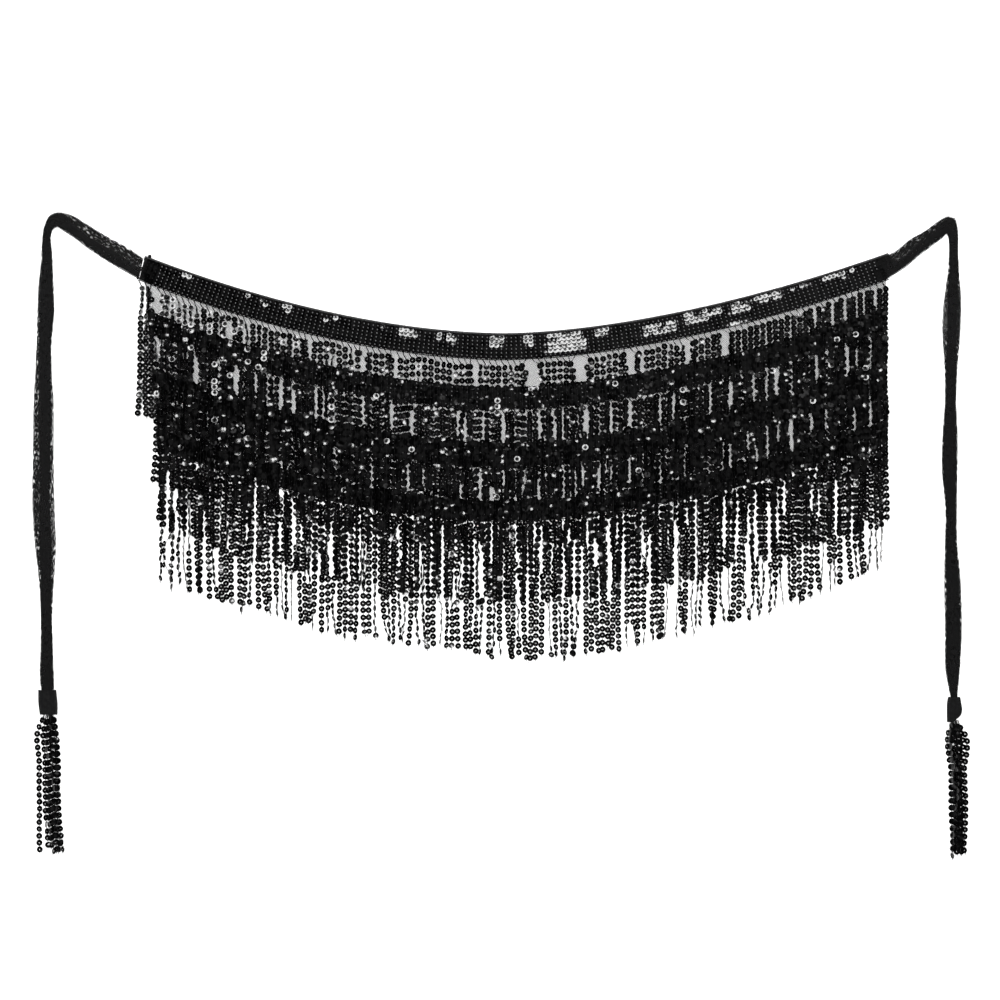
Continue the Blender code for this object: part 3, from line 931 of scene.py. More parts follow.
@dataclass(frozen=True)
class EdgeBinding:
    """The narrow tape folded over the waist edge and stitched down."""

    columns: int = 300
    arc_points: int = 7
    corner: float = 0.7 * MM
    hem: float = 0.45 * MM
    hem_step: float = 0.4 * MM
    pucker: float = 0.12 * MM
    stitch_pitch: float = 3.2 * MM
    stitch_radius: float = 0.22 * MM
    stitch_share: float = 0.36
    stitch_heights: tuple = (-0.25 * MM, 0.12 * MM, -0.25 * MM)

    def section(self) -> ndarray:
        """The tape's section, from its upper hem round the waist edge to its lower hem.

        Returns:
            A drop and a height for each point.
        """
        corner, depth, top = self.corner, BINDING_DEPTH, BINDING_HEIGHT
        lip = depth - 0.1 * MM
        hem_low = 0.15 * MM + self.hem_step
        hem_high = top - 0.4 * MM - self.hem_step
        turn = [(corner * math.sin(a), corner * math.cos(a))
                for a in np.linspace(0.0, math.pi / 2.0, self.arc_points)]
        section = [(self.hem, hem_low), (lip, hem_low), (depth, 0.25 * MM), (corner, 0.1 * MM)]
        section += [(corner - sine, corner - cosine) for sine, cosine in turn]
        section += [(corner - cosine, top - corner + sine) for sine, cosine in turn]
        section += [(depth * 0.7, top - 0.05 * MM), (depth, top - 0.3 * MM)]
        section += [(lip, hem_high), (self.hem, hem_high)]
        return np.array(section)[::-1]

    def build(self, finishes: Finishes) -> Object:
        """Fold the tape over the edge, and stitch it.

        Args:
            finishes: The belt's finishes.

        Returns:
            The tape.
        """
        left = float(waistband_left(0.0))
        x = np.linspace(left, WAISTBAND_RIGHT_X, self.columns)
        rows = self.section()
        puckered = self.pucker * np.sin(2.0 * math.pi * x / self.stitch_pitch)
        points = np.stack((x + 0.0 * rows[:, :1], WAIST.y(x) - rows[:, :1],
                           rows[:, 1:] + 0.0 * x + puckered * (rows[:, 1:] > BINDING_HEIGHT / 2.0)), -1)
        run = run_along(rows)
        flat = np.stack((x + 0.0 * run[:, None], run[:, None] + 0.0 * x), -1)
        gathered = Gathered()
        gathered.add(points, sheet_faces(len(rows), self.columns)[:, ::-1], flat)
        tape = gathered.piece("edge_binding_tape", finishes.tape, Slot.TAPE)
        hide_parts("edge_binding")
        stitches = self.stitch(finishes)
        WAIST.length(left, WAISTBAND_RIGHT_X)
        return tape

    def stitch(self, finishes: Finishes) -> Object:
        """Sew a row of small stitches along the tape's inner edge.

        Args:
            finishes: The belt's finishes.

        Returns:
            The stitches.
        """
        gathered = Gathered()
        half = self.stitch_pitch * self.stitch_share
        heights = BINDING_HEIGHT + np.array(self.stitch_heights)
        for x in WAIST.even(float(waistband_left(0.0)) + half, WAISTBAND_RIGHT_X - half, self.stitch_pitch):
            xs = np.array((x - half, x, x + half))
            path = np.stack((xs, WAIST.y(xs) - BINDING_DEPTH * 0.75, heights), -1)
            gathered.add(*thread(path, self.stitch_radius, along_x=True))
        return gathered.piece("edge_binding_stitches", finishes.string, Slot.TAPE)


@dataclass(frozen=True)
class Glow:
    """A stretch of a band whose sequins are turned to the light, in millimetres."""

    x: float
    half: float
    top: float
    bottom: float
    side_fade: float = 3.0
    drop_fade: float = 2.0

    def share(self, x: ndarray, drop: float) -> ndarray:
        """How far the sequins here are turned to the light.

        Args:
            x: Where the sequins of a row are.
            drop: The drop of that row.

        Returns:
            A share from 0 to 1 for each x.
        """
        side = 1.0 - np.abs(x - self.x * MM) / (self.half * MM)
        level = min(drop - self.top * MM, self.bottom * MM - drop) / (self.drop_fade * MM) + 1.0
        return np.clip(side * self.side_fade, 0.0, 1.0) * np.clip(level, 0.0, 1.0)


@dataclass(frozen=True)
class SequinBand:
    """A strip of cloth with rows of sequins sewn on, each overlapping the next."""

    name: str
    top: float
    bottom: float
    rows: int
    seed: int
    left_x: float = PANEL_LEFT_X
    left_slant: float = PANEL_LEFT_SLANT
    right_x: float = PANEL_RIGHT_X
    at_waist: bool = False
    bare_left: float = 1.0 * MM
    bare_right: float = 0.0
    glows: tuple = ()
    columns: int = 260
    turned_edge: float = 0.5 * MM
    shoulder: float = 0.1 * MM
    flat_shares: tuple = (0.3, 0.7)
    ripple: float = 0.12 * MM
    ripple_reach: float = 4.0
    along_pitch: float = 4.75 * MM
    margin: float = 2.4 * MM
    right_margin: float = 0.6
    spread: float = 30.0 * MM
    uneven: float = 0.15 * MM
    askew: float = 0.1 * MM
    height: float = 0.35 * MM
    lean: float = 4.5
    sag: float = 4.0
    uneven_lean: float = 2.0
    uneven_glow: float = 0.2
    strewn: float = 0.025
    flat_share: float = 0.3
    stitch_slant: float = 0.6
    stitch_long: float = 1.05 * MM
    stitch_wide: float = 0.6 * MM
    stitch_high: float = 0.4 * MM
    stitch_sunk: float = 0.05 * MM

    def left(self, drop: ndarray) -> ndarray:
        """X of the band's left end at a drop."""
        return self.left_x + self.left_slant * np.asarray(drop)

    def build(self, finishes: Finishes, studio: Studio) -> Object:
        """Args:
            finishes: The belt's finishes.
            studio: The studio, for the sequins that are turned to its light.

        Returns:
            The strip of cloth.
        """
        cloth = self.lay_cloth(finishes)
        sequins, stitches = self.sew(finishes, studio)
        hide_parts(self.name)
        length = WAIST.length(self.left_x, self.right_x)
        return cloth

    def lay_cloth(self, finishes: Finishes) -> Object:
        """Lay the strip of cloth with its edges turned down.

        Args:
            finishes: The belt's finishes.

        Returns:
            The strip.
        """
        turn, shoulder = self.turned_edge, CLOTH_TOP - self.shoulder
        near, far = self.flat_shares
        section = np.array((
            (self.top, CLOTH_LOW), (self.top, CLOTH_TOP - turn), (self.top + turn, shoulder),
            (self.top * far + self.bottom * near, CLOTH_TOP),
            (self.top * near + self.bottom * far, CLOTH_TOP),
            (self.bottom - turn, shoulder), (self.bottom, CLOTH_TOP - turn), (self.bottom, CLOTH_LOW),
        ))
        drops = section[:, :1]
        left = self.left(drops)
        x = left + (self.right_x - left) * np.linspace(0.0, 1.0, self.columns)
        chance = np.random.default_rng(self.seed)
        ripple = self.ripple * drift(chance, len(section), self.columns, self.ripple_reach)
        points = np.stack((x, WAIST.y(x) - drops, section[:, 1:] + np.minimum(ripple, 0.0)), -1)
        flat = np.stack((x, run_along(section)[:, None] + 0.0 * x), -1)
        gathered = Gathered()
        gathered.add(points, sheet_faces(len(section), self.columns), flat)
        return gathered.piece(f"{self.name}_cloth", finishes.band_cloth, Slot.BAND_SEQUINS)

    def glow_at(self, x: ndarray, drop: float) -> ndarray:
        """How far the sequins of a row are turned to the light.

        Args:
            x: Where they are.
            drop: The row's drop.

        Returns:
            A share from 0 to 1 for each x.
        """
        share = np.zeros_like(x)
        for glow in self.glows:
            share = np.maximum(share, glow.share(x, drop))
        return share

    def sew(self, finishes: Finishes, studio: Studio) -> list[Object]:
        """Sew the rows of sequins, with a stitch through each hole.

        Args:
            finishes: The belt's finishes.
            studio: The studio, for the sequins that are turned to its light.

        Returns:
            The sequins and the stitches.
        """
        chance = np.random.default_rng(self.seed + 100)
        sequins, stitches = Gathered(), Gathered()
        first = max(self.top, BINDING_DEPTH + SEAM_GAP) + self.margin
        columns = WAIST.even(self.left_x - self.spread, self.right_x + self.spread, self.along_pitch)
        for row in range(self.rows):
            drop = first + (self.bottom - self.margin - first) * row / (self.rows - 1)
            x = columns + WAIST.tangent(columns)[:, 1] * drop + chance.normal(0.0, self.uneven, len(columns))
            start = float(self.left(drop)) + self.margin
            x = x[(x > start) & (x < self.right_x - self.margin * self.right_margin)]
            tangent = WAIST.tangent(x)
            down = np.stack((tangent[:, 1], -tangent[:, 0], tangent[:, 2]), -1)
            centres = np.stack((x, WAIST.y(x) - drop, np.full(len(x), CLOTH_TOP + self.height)), -1)
            centres += chance.normal(0.0, self.askew, centres.shape) * (1.0, 1.0, 0.3)
            lean, sag = (np.radians(angle + chance.normal(0.0, self.uneven_lean, len(x)))[:, None]
                         for angle in (self.lean, self.sag))
            out = unit(UP - np.tan(lean) * tangent + np.tan(sag) * down)
            share = self.glow_at(x, drop)
            lit = share + chance.normal(0.0, self.uneven_glow, len(x)) * (share > 0.0)
            lit = np.clip(lit, 0.0, 1.0)[:, None]
            strewn = chance.normal(0.0, self.strewn, out.shape)
            out = unit(out * (1.0 - lit) + studio.glint_face(centres) * lit + strewn)
            across, down = frame_to(down, out)
            dish = chance.uniform(0.5, 1.0, len(x))
            flat = share > self.flat_share
            for shape, chosen in ((SEWN_SEQUIN, ~flat), (FLAT_SEWN_SEQUIN, flat)):
                shape.add_many(sequins, centres[chosen], across[chosen], down[chosen], dish[chosen])
            held = (x > start + self.bare_left) & (x < self.right_x - self.bare_right)
            self.add_stitches(stitches, centres[held], across[held], down[held])
        thread_used = finishes.waist_stitch if self.at_waist else finishes.stitch
        return [sequins.piece(f"{self.name}_sequins", finishes.sewn, Slot.BAND_SEQUINS),
                stitches.piece(f"{self.name}_stitches", thread_used, Slot.BAND_SEQUINS, smooth=False)]

    def add_stitches(self, gathered: Gathered, centres: ndarray, across: ndarray,
                     down: ndarray) -> None:
        """Add a small slanted bead of thread through each hole.

        Args:
            gathered: The mesh they are added to.
            centres: The sequins' middles.
            across: Unit vectors across the sequins.
            down: Unit vectors down the sequins.
        """
        out = np.cross(down, across)
        slanted = unit(across * self.stitch_slant + down)
        beside = np.cross(out, slanted)
        base = centres - out * self.stitch_sunk
        long, wide = slanted * self.stitch_long, beside * self.stitch_wide
        high = out * self.stitch_high
        points = np.stack((base - long, base - wide, base + long, base + wide, base + high), 1)
        faces = np.array(((0, 1, 4), (1, 2, 4), (2, 3, 4), (3, 0, 4)))
        many = faces[None] + (np.arange(len(centres)) * points.shape[1])[:, None, None]
        gathered.add(points, many.reshape(-1, 3))


WAISTBAND_GLOWS = (
    (-310, 7, 2, 6), (-294, 2, 2, 4), (-252, 3, 2, 5), (-236, 3, 4, 9), (-212, 6, 3, 8), (-174, 2, 3, 8),
    (-164, 2, 3, 6), (-116, 4, 3, 5), (-92, 10, 3, 11), (-62, 3, 3, 9), (-47, 6, 3, 11), (-3, 7, 3, 14),
    (27, 6, 3, 12), (66, 26, 3, 20), (102, 7, 3, 10), (160, 22, 6, 17), (197, 14, 5, 13), (216, 8, 5, 11),
    (238, 12, 22, 25), (240, 14, 4, 12), (268, 20, 4, 8), (302, 14, 4, 4), (333, 16, 4, 7), (352, 4, 4, 5),
)
BAND_GLOWS = ((33, 7, 55, 61), (-310, 6, 55, 58), (-267, 6, 55, 58))


def sequin_bands() -> list[SequinBand]:
    """The waistband and the three bands across the net, from the waist down.

    Returns:
        The four bands.
    """
    waist_glows, band_glows = (tuple(Glow(*row) for row in rows) for rows in (WAISTBAND_GLOWS, BAND_GLOWS))
    return [
        SequinBand("waistband", BINDING_DEPTH - 0.7 * MM, WAISTBAND_BOTTOM, 6, 21, WAISTBAND_LEFT_X,
                   WAISTBAND_LEFT_SLANT, WAISTBAND_RIGHT_X, at_waist=True, bare_left=13.0 * MM,
                   bare_right=11.0 * MM, glows=waist_glows),
        SequinBand("sequin_band_1", 54.0 * MM, 76.0 * MM, 5, 22, glows=band_glows),
        SequinBand("sequin_band_2", 110.0 * MM, 134.0 * MM, 6, 23),
        SequinBand("sequin_band_3", 168.0 * MM, PANEL_BOTTOM, 5, 24),
    ]


@dataclass(frozen=True)
class Parting:
    """A place where the strings have slid apart, in millimetres: its x, its half width and its drops."""

    x: float
    half: float
    top: float
    bottom: float
    lower_half: float = 0.0
    fade: float = 7.0
    crowding: float = 0.17
    overlap: float = 0.5
    waves: tuple = ((0.3, 4.7, 1.0), (0.25, 2.3, 3.0))

    def push(self, x: ndarray, drop: ndarray) -> ndarray:
        """Slide strings aside.

        Args:
            x: Where the strings would lie at each drop.
            drop: The drops.

        Returns:
            Where they lie.
        """
        down = drop / MM
        opened = soft_step((down - self.top) / self.fade + 1.0)
        opened = opened * soft_step((self.bottom - down) / self.fade + 1.0)
        away = x / MM - self.x
        lower = self.lower_half if self.lower_half else self.half
        fallen = np.clip((down - self.top) / (self.bottom - self.top), 0.0, 1.0)
        half = self.half + (lower - self.half) * fallen
        turn = self.x + np.where(away < 0.0, 0.0, 2.0)
        swell = 1.0
        for size, length, times in self.waves:
            swell = swell + size * np.sin(down / length + times * turn)
        limit = half * swell + STRUNG_SEQUIN.outer / MM - self.overlap
        moved = np.maximum(np.abs(away), limit + self.crowding * np.abs(away))
        moved = np.where(np.abs(away) < limit / (1.0 - self.crowding), moved, np.abs(away))
        return x + (np.where(away < 0.0, -moved, moved) - away) * opened * MM


UPPER_GAP_PARTINGS = (
    (-270.5, 2.4, 42, 54), (-189.5, 1.2, 34, 48), (-136, 1.5, 34, 52), (-104.5, 1.2, 38, 52),
    (-24.5, 1.8, 34, 52), (33, 5.5, 34, 52), (81.5, 5, 34, 52), (132.5, 4.2, 34, 52), (142.5, 1.2, 38, 52),
    (189, 2.2, 34, 50), (225.5, 2.6, 34, 52), (315.5, 1.2, 34, 44), (332.5, 0.6, 34, 56), (345, 0.7, 34, 50),
    (357.5, 0.6, 34, 56), (364.5, 0.5, 34, 58), (375.5, 0.8, 34, 46), (-343.5, 3.4, 34, 48),
)
MIDDLE_GAP_PARTINGS = (
    (-303.5, 1.8, 84, 106), (-263.5, 2.2, 82, 104), (-243.5, 0.8, 84, 96), (-217.7, 1.2, 82, 104),
    (-205, 0.9, 90, 106), (-136, 0.9, 82, 104), (-107.5, 0.7, 84, 98), (-87.5, 1.1, 86, 106),
    (-41, 1.9, 84, 104), (-34.5, 1, 88, 106), (-16.5, 0.5, 84, 104), (4, 1.4, 84, 106), (40.5, 0.5, 84, 102),
    (54.5, 0.7, 82, 106), (79.5, 1, 88, 100), (86, 2.2, 84, 102), (111, 0.7, 82, 104), (130, 1.2, 82, 102),
    (160.5, 0.6, 84, 104), (173.5, 0.6, 84, 104), (205, 0.6, 82, 100), (210.5, 0.8, 80, 106),
    (231, 1.6, 84, 104), (254, 0.9, 84, 102), (277, 1.7, 82, 104), (317.5, 1.2, 82, 102),
    (348.5, 1.3, 84, 104), (356.5, 0.6, 86, 100),
)
LOWER_GAP_PARTINGS = (
    (-91, 0.8, 144, 160), (-76.5, 0.6, 142, 156), (-39, 0.6, 156, 166), (-19, 1.1, 142, 166),
    (-7.5, 1.6, 158, 166), (4.5, 0.6, 139, 150), (25, 0.5, 139, 156), (38.5, 0.4, 150, 166),
    (84, 0.7, 142, 156), (98.5, 0.7, 146, 160), (130, 0.8, 140, 160), (224, 1, 142, 164),
    (230.5, 0.9, 146, 165), (248.5, 0.9, 138, 152), (257.5, 0.8, 157, 166), (278.5, 0.9, 140, 152),
    (291.5, 1.7, 140, 160), (313, 0.7, 140, 150), (326, 0.8, 139, 154), (355.5, 0.8, 146, 165),
    (371.5, 0.6, 150, 162),
)
LOW_FRINGE_PARTINGS = (
    (-332.5, 0.9, 210, 330), (-324, 0.6, 224, 262), (-295.5, 0.4, 236, 320, 2), (-244.5, 0.8, 196, 262),
    (-228, 0.8, 244, 262), (-219, 0.7, 224, 250), (-207, 0.5, 198, 258), (-198, 0.7, 222, 234),
    (-180, 1, 246, 264), (-168.2, 0.4, 212, 262, 1.7), (-100.5, 0.7, 206, 242), (-57.5, 0.8, 198, 268),
    (-17.5, 0.8, 220, 262, 1.6), (-8.5, 0.5, 212, 226), (19, 0.8, 222, 232), (18.5, 0.9, 248, 268),
    (36, 0.6, 196, 204), (42.5, 0.4, 198, 240), (68.5, 0.5, 202, 212), (74.5, 0.9, 218, 268),
    (87.5, 1, 196, 214), (96.5, 2, 218, 240), (109.5, 0.9, 198, 272, 1.6), (117.5, 0.6, 204, 214),
    (144.5, 0.6, 218, 234), (150.5, 0.9, 218, 276), (169, 0.6, 216, 228), (175.5, 1.1, 214, 286),
    (187.5, 0.5, 200, 212), (224.5, 1, 198, 242), (238, 0.7, 208, 244), (249, 1, 210, 308, 2.2),
    (256, 0.8, 198, 262), (270, 1.7, 216, 268), (278.5, 1.2, 200, 248), (284.5, 0.9, 200, 226),
    (313, 0.7, 214, 230), (319.5, 0.7, 218, 240), (336.5, 0.9, 218, 262), (352.5, 0.7, 250, 278),
    (366, 1.2, 262, 290),
)
LOW_FRINGE_NARROWING = 0.72
LEAST_HALF = 0.3


def narrowed(half: float) -> float:
    """A low fringe parting's half width, narrowed from the one given."""
    return max(LEAST_HALF, round(half * LOW_FRINGE_NARROWING, 2))


PARTINGS = tuple(Parting(*row) for row in (
    *UPPER_GAP_PARTINGS, *MIDDLE_GAP_PARTINGS, *LOWER_GAP_PARTINGS,
    *((x, narrowed(half), *rest) for x, half, *rest in LOW_FRINGE_PARTINGS)))
SHINES = (
    (-355.5, 248), (-338.5, 241), (-325.5, 236), (-345.5, 229), (-335.5, 231), (-326.5, 229), (-333.5, 220),
    (-326.5, 221), (-322.5, 214), (-289.5, 209), (-277.5, 204), (-270.5, 204), (-310.5, 189), (-236.5, 182),
    (-328.5, 175), (-277.5, 171), (-286.5, 168), (-286.5, 155), (-286.5, 148), (-286.5, 140), (-164.5, 127),
    (-164.5, 114), (-124.5, 142), (-250.5, 198), (-255.5, 183), (-255.5, 176), (-236.5, 175), (-242, 168),
    (-235.5, 165), (-214.5, 196), (-202.5, 190), (-208.5, 108), (-251.5, 96), (-2.5, 136), (-2.5, 123),
    (-86.5, 85), (16.5, 78), (-6.5, 43), (-5.5, 37), (11.5, -1), (13.5, -7), (85.5, 91), (118.5, 152),
    (142.5, 65), (182.5, 145), (182.5, 131), (310.5, 133), (333.5, 168), (336.5, 198), (353.5, 200),
    (369.5, 168), (369.5, 159),
)


@dataclass(frozen=True)
class Strings:
    """The strings of a tier: where each is rooted, how it falls, and where it ends."""

    root_x: ndarray
    pull: ndarray
    lean: ndarray
    sway: ndarray
    phase: ndarray
    curl: ndarray
    tip_drop: ndarray
    clump: ndarray
    settle_share: float = 0.35
    curl_start: float = 0.8

    def x_at(self, share: ndarray) -> ndarray:
        """X of each string along its length.

        Args:
            share: Shares of the length, one row for each string.

        Returns:
            One x for each share.
        """
        settled = soft_step(share / self.settle_share)
        curled = np.clip((share - self.curl_start) / (1.0 - self.curl_start), 0.0, None) ** 2
        swayed = self.sway[:, None] * share * np.sin(2.0 * math.pi * share + self.phase[:, None])
        return (self.root_x[:, None] + self.pull[:, None] * settled + self.lean[:, None] * share
                + swayed + self.curl[:, None] * curled)


class Draw(Enum):
    """What a tier's random numbers are drawn for, as a step to its seed."""

    PATHS = -1
    SEQUINS = 60
    THREADS = 80
    TAILS = 200


@dataclass(frozen=True)
class LeftSparkle:
    """The left end of the net, where more sequins are turned to the light, and how likely they are."""

    start_x: float = -346.0 * MM
    many_x: float = -310.0 * MM
    few_x: float = -245.0 * MM
    end_x: float = -240.0 * MM
    end_drop: float = 54.0 * MM
    many: float = 0.4
    few: float = 0.06

    def chosen(self, luck: ndarray, x: ndarray, drop: ndarray) -> ndarray:
        """Which sequins are turned to the light.

        Args:
            luck: A number from 0 to 1 for each sequin.
            x: Where the sequins are.
            drop: Their drops.

        Returns:
            True for each sequin that is.
        """
        likely = np.interp(x, (self.many_x, self.few_x), (self.many, self.few)) * (x < self.end_x)
        return (luck < likely) & (drop < self.end_drop) & (x > self.start_x)


@dataclass(frozen=True)
class FringeTier:
    """A tier of strung sequins: 122 strings in clumps of three and four, as in the solids.

    Tips and heights are rows of millimetres: x and the drop of the tips there, and a drop and the
    height of the strings there. Crowded is a row of x in millimetres and a row of shares of the pitch.
    """

    number: int
    drop: float
    left_x: float
    right_x: float
    header_low: float
    tips: tuple
    heights: tuple
    left_flare: float = 0.0
    left_sparkle: LeftSparkle | None = None
    strings_per_tier: int = 122
    clumps_of_three: int = 22
    clumps_of_four: int = 14
    header_depth: float = 2.7 * MM
    clump_pull: float = 0.17
    clump_lean: float = 1.5 * MM
    clump_sway: float = 1.1 * MM
    string_wobble: float = 0.45 * MM
    string_curl: float = 1.3 * MM
    string_uneven: float = 3.0 * MM
    tail_sway: float = 1.6 * MM
    tail_start: float = 0.7
    solid_seed: int = 40
    pitch: float = 6.82 * MM
    first_gap: float = 4.3 * MM
    tip_gap: float = 2.4 * MM
    stagger: float = 0.8 * MM
    clump_stagger: float = 0.5 * MM
    stagger_limits: tuple = (-0.4, 0.6)
    uneven_pitch: float = 0.03
    uneven_drop: float = 0.22 * MM
    crowded: tuple = ((0.0,), (1.0,))
    slope_reach: float = 1.0 * MM
    clearance: float = 0.45 * MM
    edge_on: float = 0.3
    steep: tuple = (50.0, 84.0)
    mood_reach: float = 7.0
    clump_mood_reach: float = 9.0
    mood_shares: tuple = (0.45, 0.75)
    mood_edge: float = 0.35
    uneven_roll: float = 5.0
    tail_turn: float = 0.0
    flat_from: float = 1.0
    thin_starts: tuple = ()
    thin_steep: float = 44.0
    tipped: float = 0.5
    tilts: tuple = (16.0, 5.5)
    dish: float = 0.28 / 0.45
    steep_dish: float = 2.2
    sparkle: float = 0.003
    bare_from: float = 0.0
    uneven_shine: float = 0.035
    shine_reach: float = 6.0 * MM
    thread_radius: float = 0.28 * MM
    root_radius: float = 0.5 * MM
    root_slant: float = 3.6 * MM
    root_height: float = 0.8 * MM
    root_cover: float = 0.6 * MM
    tail_length: float = 4.0
    tail_uneven: float = 1.5
    tail_swing: float = 0.8 * MM
    tail_height: float = 3.0 * MM
    chain_points: int = 330
    chain_beat: float = 0.15 * MM
    chain_pitch: float = 2.2 * MM
    chain_radius: float = 0.5 * MM
    chain_cover: float = 0.75 * MM
    chain_height: float = 0.7 * MM

    @property
    def bottom(self) -> float:
        """Drop of the header's lower edge, where the strings start."""
        return self.drop + SEAM_GAP + self.header_depth

    def chance(self, draw: Draw) -> Generator:
        """The tier's own random numbers for one use."""
        return np.random.default_rng(self.solid_seed + draw.value + self.number)

    def strings(self) -> Strings:
        """Hang the strings on the same paths as the solid's strands.

        Returns:
            The strings.
        """
        chance = self.chance(Draw.PATHS)
        sizes = [3] * self.clumps_of_three + [4] * self.clumps_of_four
        chance.shuffle(sizes)
        pitch = (self.right_x - self.left_x) / self.strings_per_tier
        tip_x, tip_drop = np.array(self.tips).T * MM
        rows = []
        first = 0
        for clump, size in enumerate(sizes):
            middle = self.left_x + pitch * (first + size / 2)
            pull, lean, sway, phase = chance.uniform(
                (self.clump_pull * 0.4, -self.clump_lean, -self.clump_sway, 0.0),
                (self.clump_pull, self.clump_lean, self.clump_sway, 2.0 * math.pi))
            flare = self.left_flare if first == 0 else 0.0
            for index in range(first, first + size):
                root_x = self.left_x + pitch * (index + 0.5)
                wobble, curl, uneven = chance.uniform(-1.0, 1.0, 3)
                tip = float(np.interp(root_x, tip_x, tip_drop)) + uneven * self.string_uneven
                rows.append((root_x, pull * (middle - root_x) - flare, lean + wobble * self.string_wobble,
                             sway, phase, curl * self.string_curl, tip, clump))
            first += size
        columns = np.array(rows).T
        return Strings(*columns[:-1], clump=columns[-1].astype(int))

    def lie(self, strings: Strings, drop: ndarray) -> ndarray:
        """Where the strings lie.

        Args:
            strings: The tier's strings.
            drop: The drops where they are asked for, one row for each string.

        Returns:
            A point for each drop.
        """
        share = np.clip((drop - self.bottom) / (strings.tip_drop[:, None] - self.bottom), 0.0, None)
        tails = self.chance(Draw.TAILS).normal(0.0, self.tail_sway, len(share))
        swung = np.clip((share - self.tail_start) / 0.3, 0.0, None) ** 2
        x = strings.x_at(share) + tails[:, None] * swung
        for parting in PARTINGS:
            x = parting.push(x, np.maximum(drop, 0.0))
        y = WAIST.y(strings.root_x)[:, None] - drop
        drops, lows = np.array(self.heights).T * MM
        return np.stack((x, y, np.interp(drop, drops, lows)), -1)

    def drops(self, chance: Generator, strings: Strings) -> ndarray:
        """How far down each string its sequins are.

        Args:
            chance: The source of random numbers.
            strings: The tier's strings.

        Returns:
            One row of drops for each string, as long as the longest string needs.
        """
        count = len(strings.root_x)
        steps = int((strings.tip_drop.max() - self.bottom) / (self.pitch * min(self.crowded[1]))) + 3
        offset = chance.normal(0.0, self.stagger, count)
        offset += chance.normal(0.0, self.clump_stagger, strings.clump.max() + 1)[strings.clump]
        offset = np.clip(offset, *(limit * self.pitch for limit in self.stagger_limits))
        pitch = self.pitch * (1.0 + chance.normal(0.0, self.uneven_pitch, count))
        pitch = pitch * np.interp(strings.root_x / MM, *self.crowded)
        drop = self.bottom + self.first_gap + offset[:, None] + pitch[:, None] * np.arange(steps)[None, :]
        return drop + chance.normal(0.0, self.uneven_drop, drop.shape)

    def rolls(self, chance: Generator, strings: Strings, steps: int) -> ndarray:
        """How far each sequin is rolled about its string.

        Args:
            chance: The source of random numbers.
            strings: The tier's strings.
            steps: How many sequins a string has.

        Returns:
            Angles in radians, one row for each string: 0 lies flat, a quarter turn stands.
        """
        clumps = int(strings.clump.max()) + 1
        together = drift(chance, clumps, steps, self.clump_mood_reach)[strings.clump]
        alone = drift(chance, len(strings.clump), steps, self.mood_reach)
        mood = self.mood_shares[0] * together + self.mood_shares[1] * alone
        limit = np.quantile(mood, 1.0 - self.edge_on)
        lower_down = self.tail_turn * (np.arange(steps) / steps - 0.5)
        turned = soft_step((mood - limit + lower_down) / self.mood_edge + 0.5)
        side = either_way(chance, len(strings.clump))[:, None]
        steep = np.radians(chance.uniform(*self.steep, len(strings.clump)))[:, None]
        turned = turned * (strings.root_x < self.flat_from)[:, None]
        for string, thin in enumerate(self.thin_starts):
            turned[string] = np.arange(steps) < thin
            steep[string] = np.radians(self.thin_steep)
        return side * turned * steep + np.radians(chance.normal(0.0, self.uneven_roll, mood.shape))

    def build(self, finishes: Finishes, studio: Studio) -> Object:
        """String the tier's sequins on their threads.

        Args:
            finishes: The belt's finishes.
            studio: The studio, for the sequins that are turned to its light.

        Returns:
            The sequins.
        """
        chance = self.chance(Draw.SEQUINS)
        strings = self.strings()
        drop = self.drops(chance, strings)
        kept = drop < strings.tip_drop[:, None] - self.tip_gap
        spots = self.lie(strings, drop)
        along = self.lie(strings, drop + self.slope_reach) - self.lie(strings, drop - self.slope_reach)
        hang = unit(along * (1.0, 1.0, 0.0))
        roll = self.rolls(chance, strings, drop.shape[1])[..., None]
        tipped = np.where(chance.random(drop.shape) < self.tipped, *self.tilts)
        tilt = np.radians(chance.normal(0.0, 1.0, drop.shape) * tipped)[..., None]
        face = np.cos(roll) * UP - np.sin(roll) * np.cross(UP, hang)
        face = unit(face + np.tan(tilt) * hang)
        shining = self.shining(chance, spots, drop, kept)
        lit = unit(studio.glint_face(spots) + chance.normal(0.0, self.uneven_shine, face.shape))
        face = np.where(shining[..., None], lit, face)
        across, down = frame_to(hang, face)
        spots[..., 2] += self.clearance + STRUNG_SEQUIN.lift(across, down)
        dish = either_way(chance, drop.shape) * self.dish * chance.uniform(0.5, 1.0, drop.shape)
        dish = dish * (1.0 + self.steep_dish * np.sin(roll[..., 0]) ** 2)
        gathered = Gathered()
        for shape, chosen in ((STRUNG_SEQUIN, kept & ~shining), (FLAT_STRUNG_SEQUIN, kept & shining)):
            shape.add_many(gathered, spots[chosen], across[chosen], down[chosen], dish[chosen])
        sequins = gathered.piece(f"fringe_{self.number}_sequins", finishes.strung, Slot.FRINGE_SEQUINS)
        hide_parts(f"fringe_tier_{self.number}")
        self.run_threads(finishes, strings, spots, kept)
        return sequins

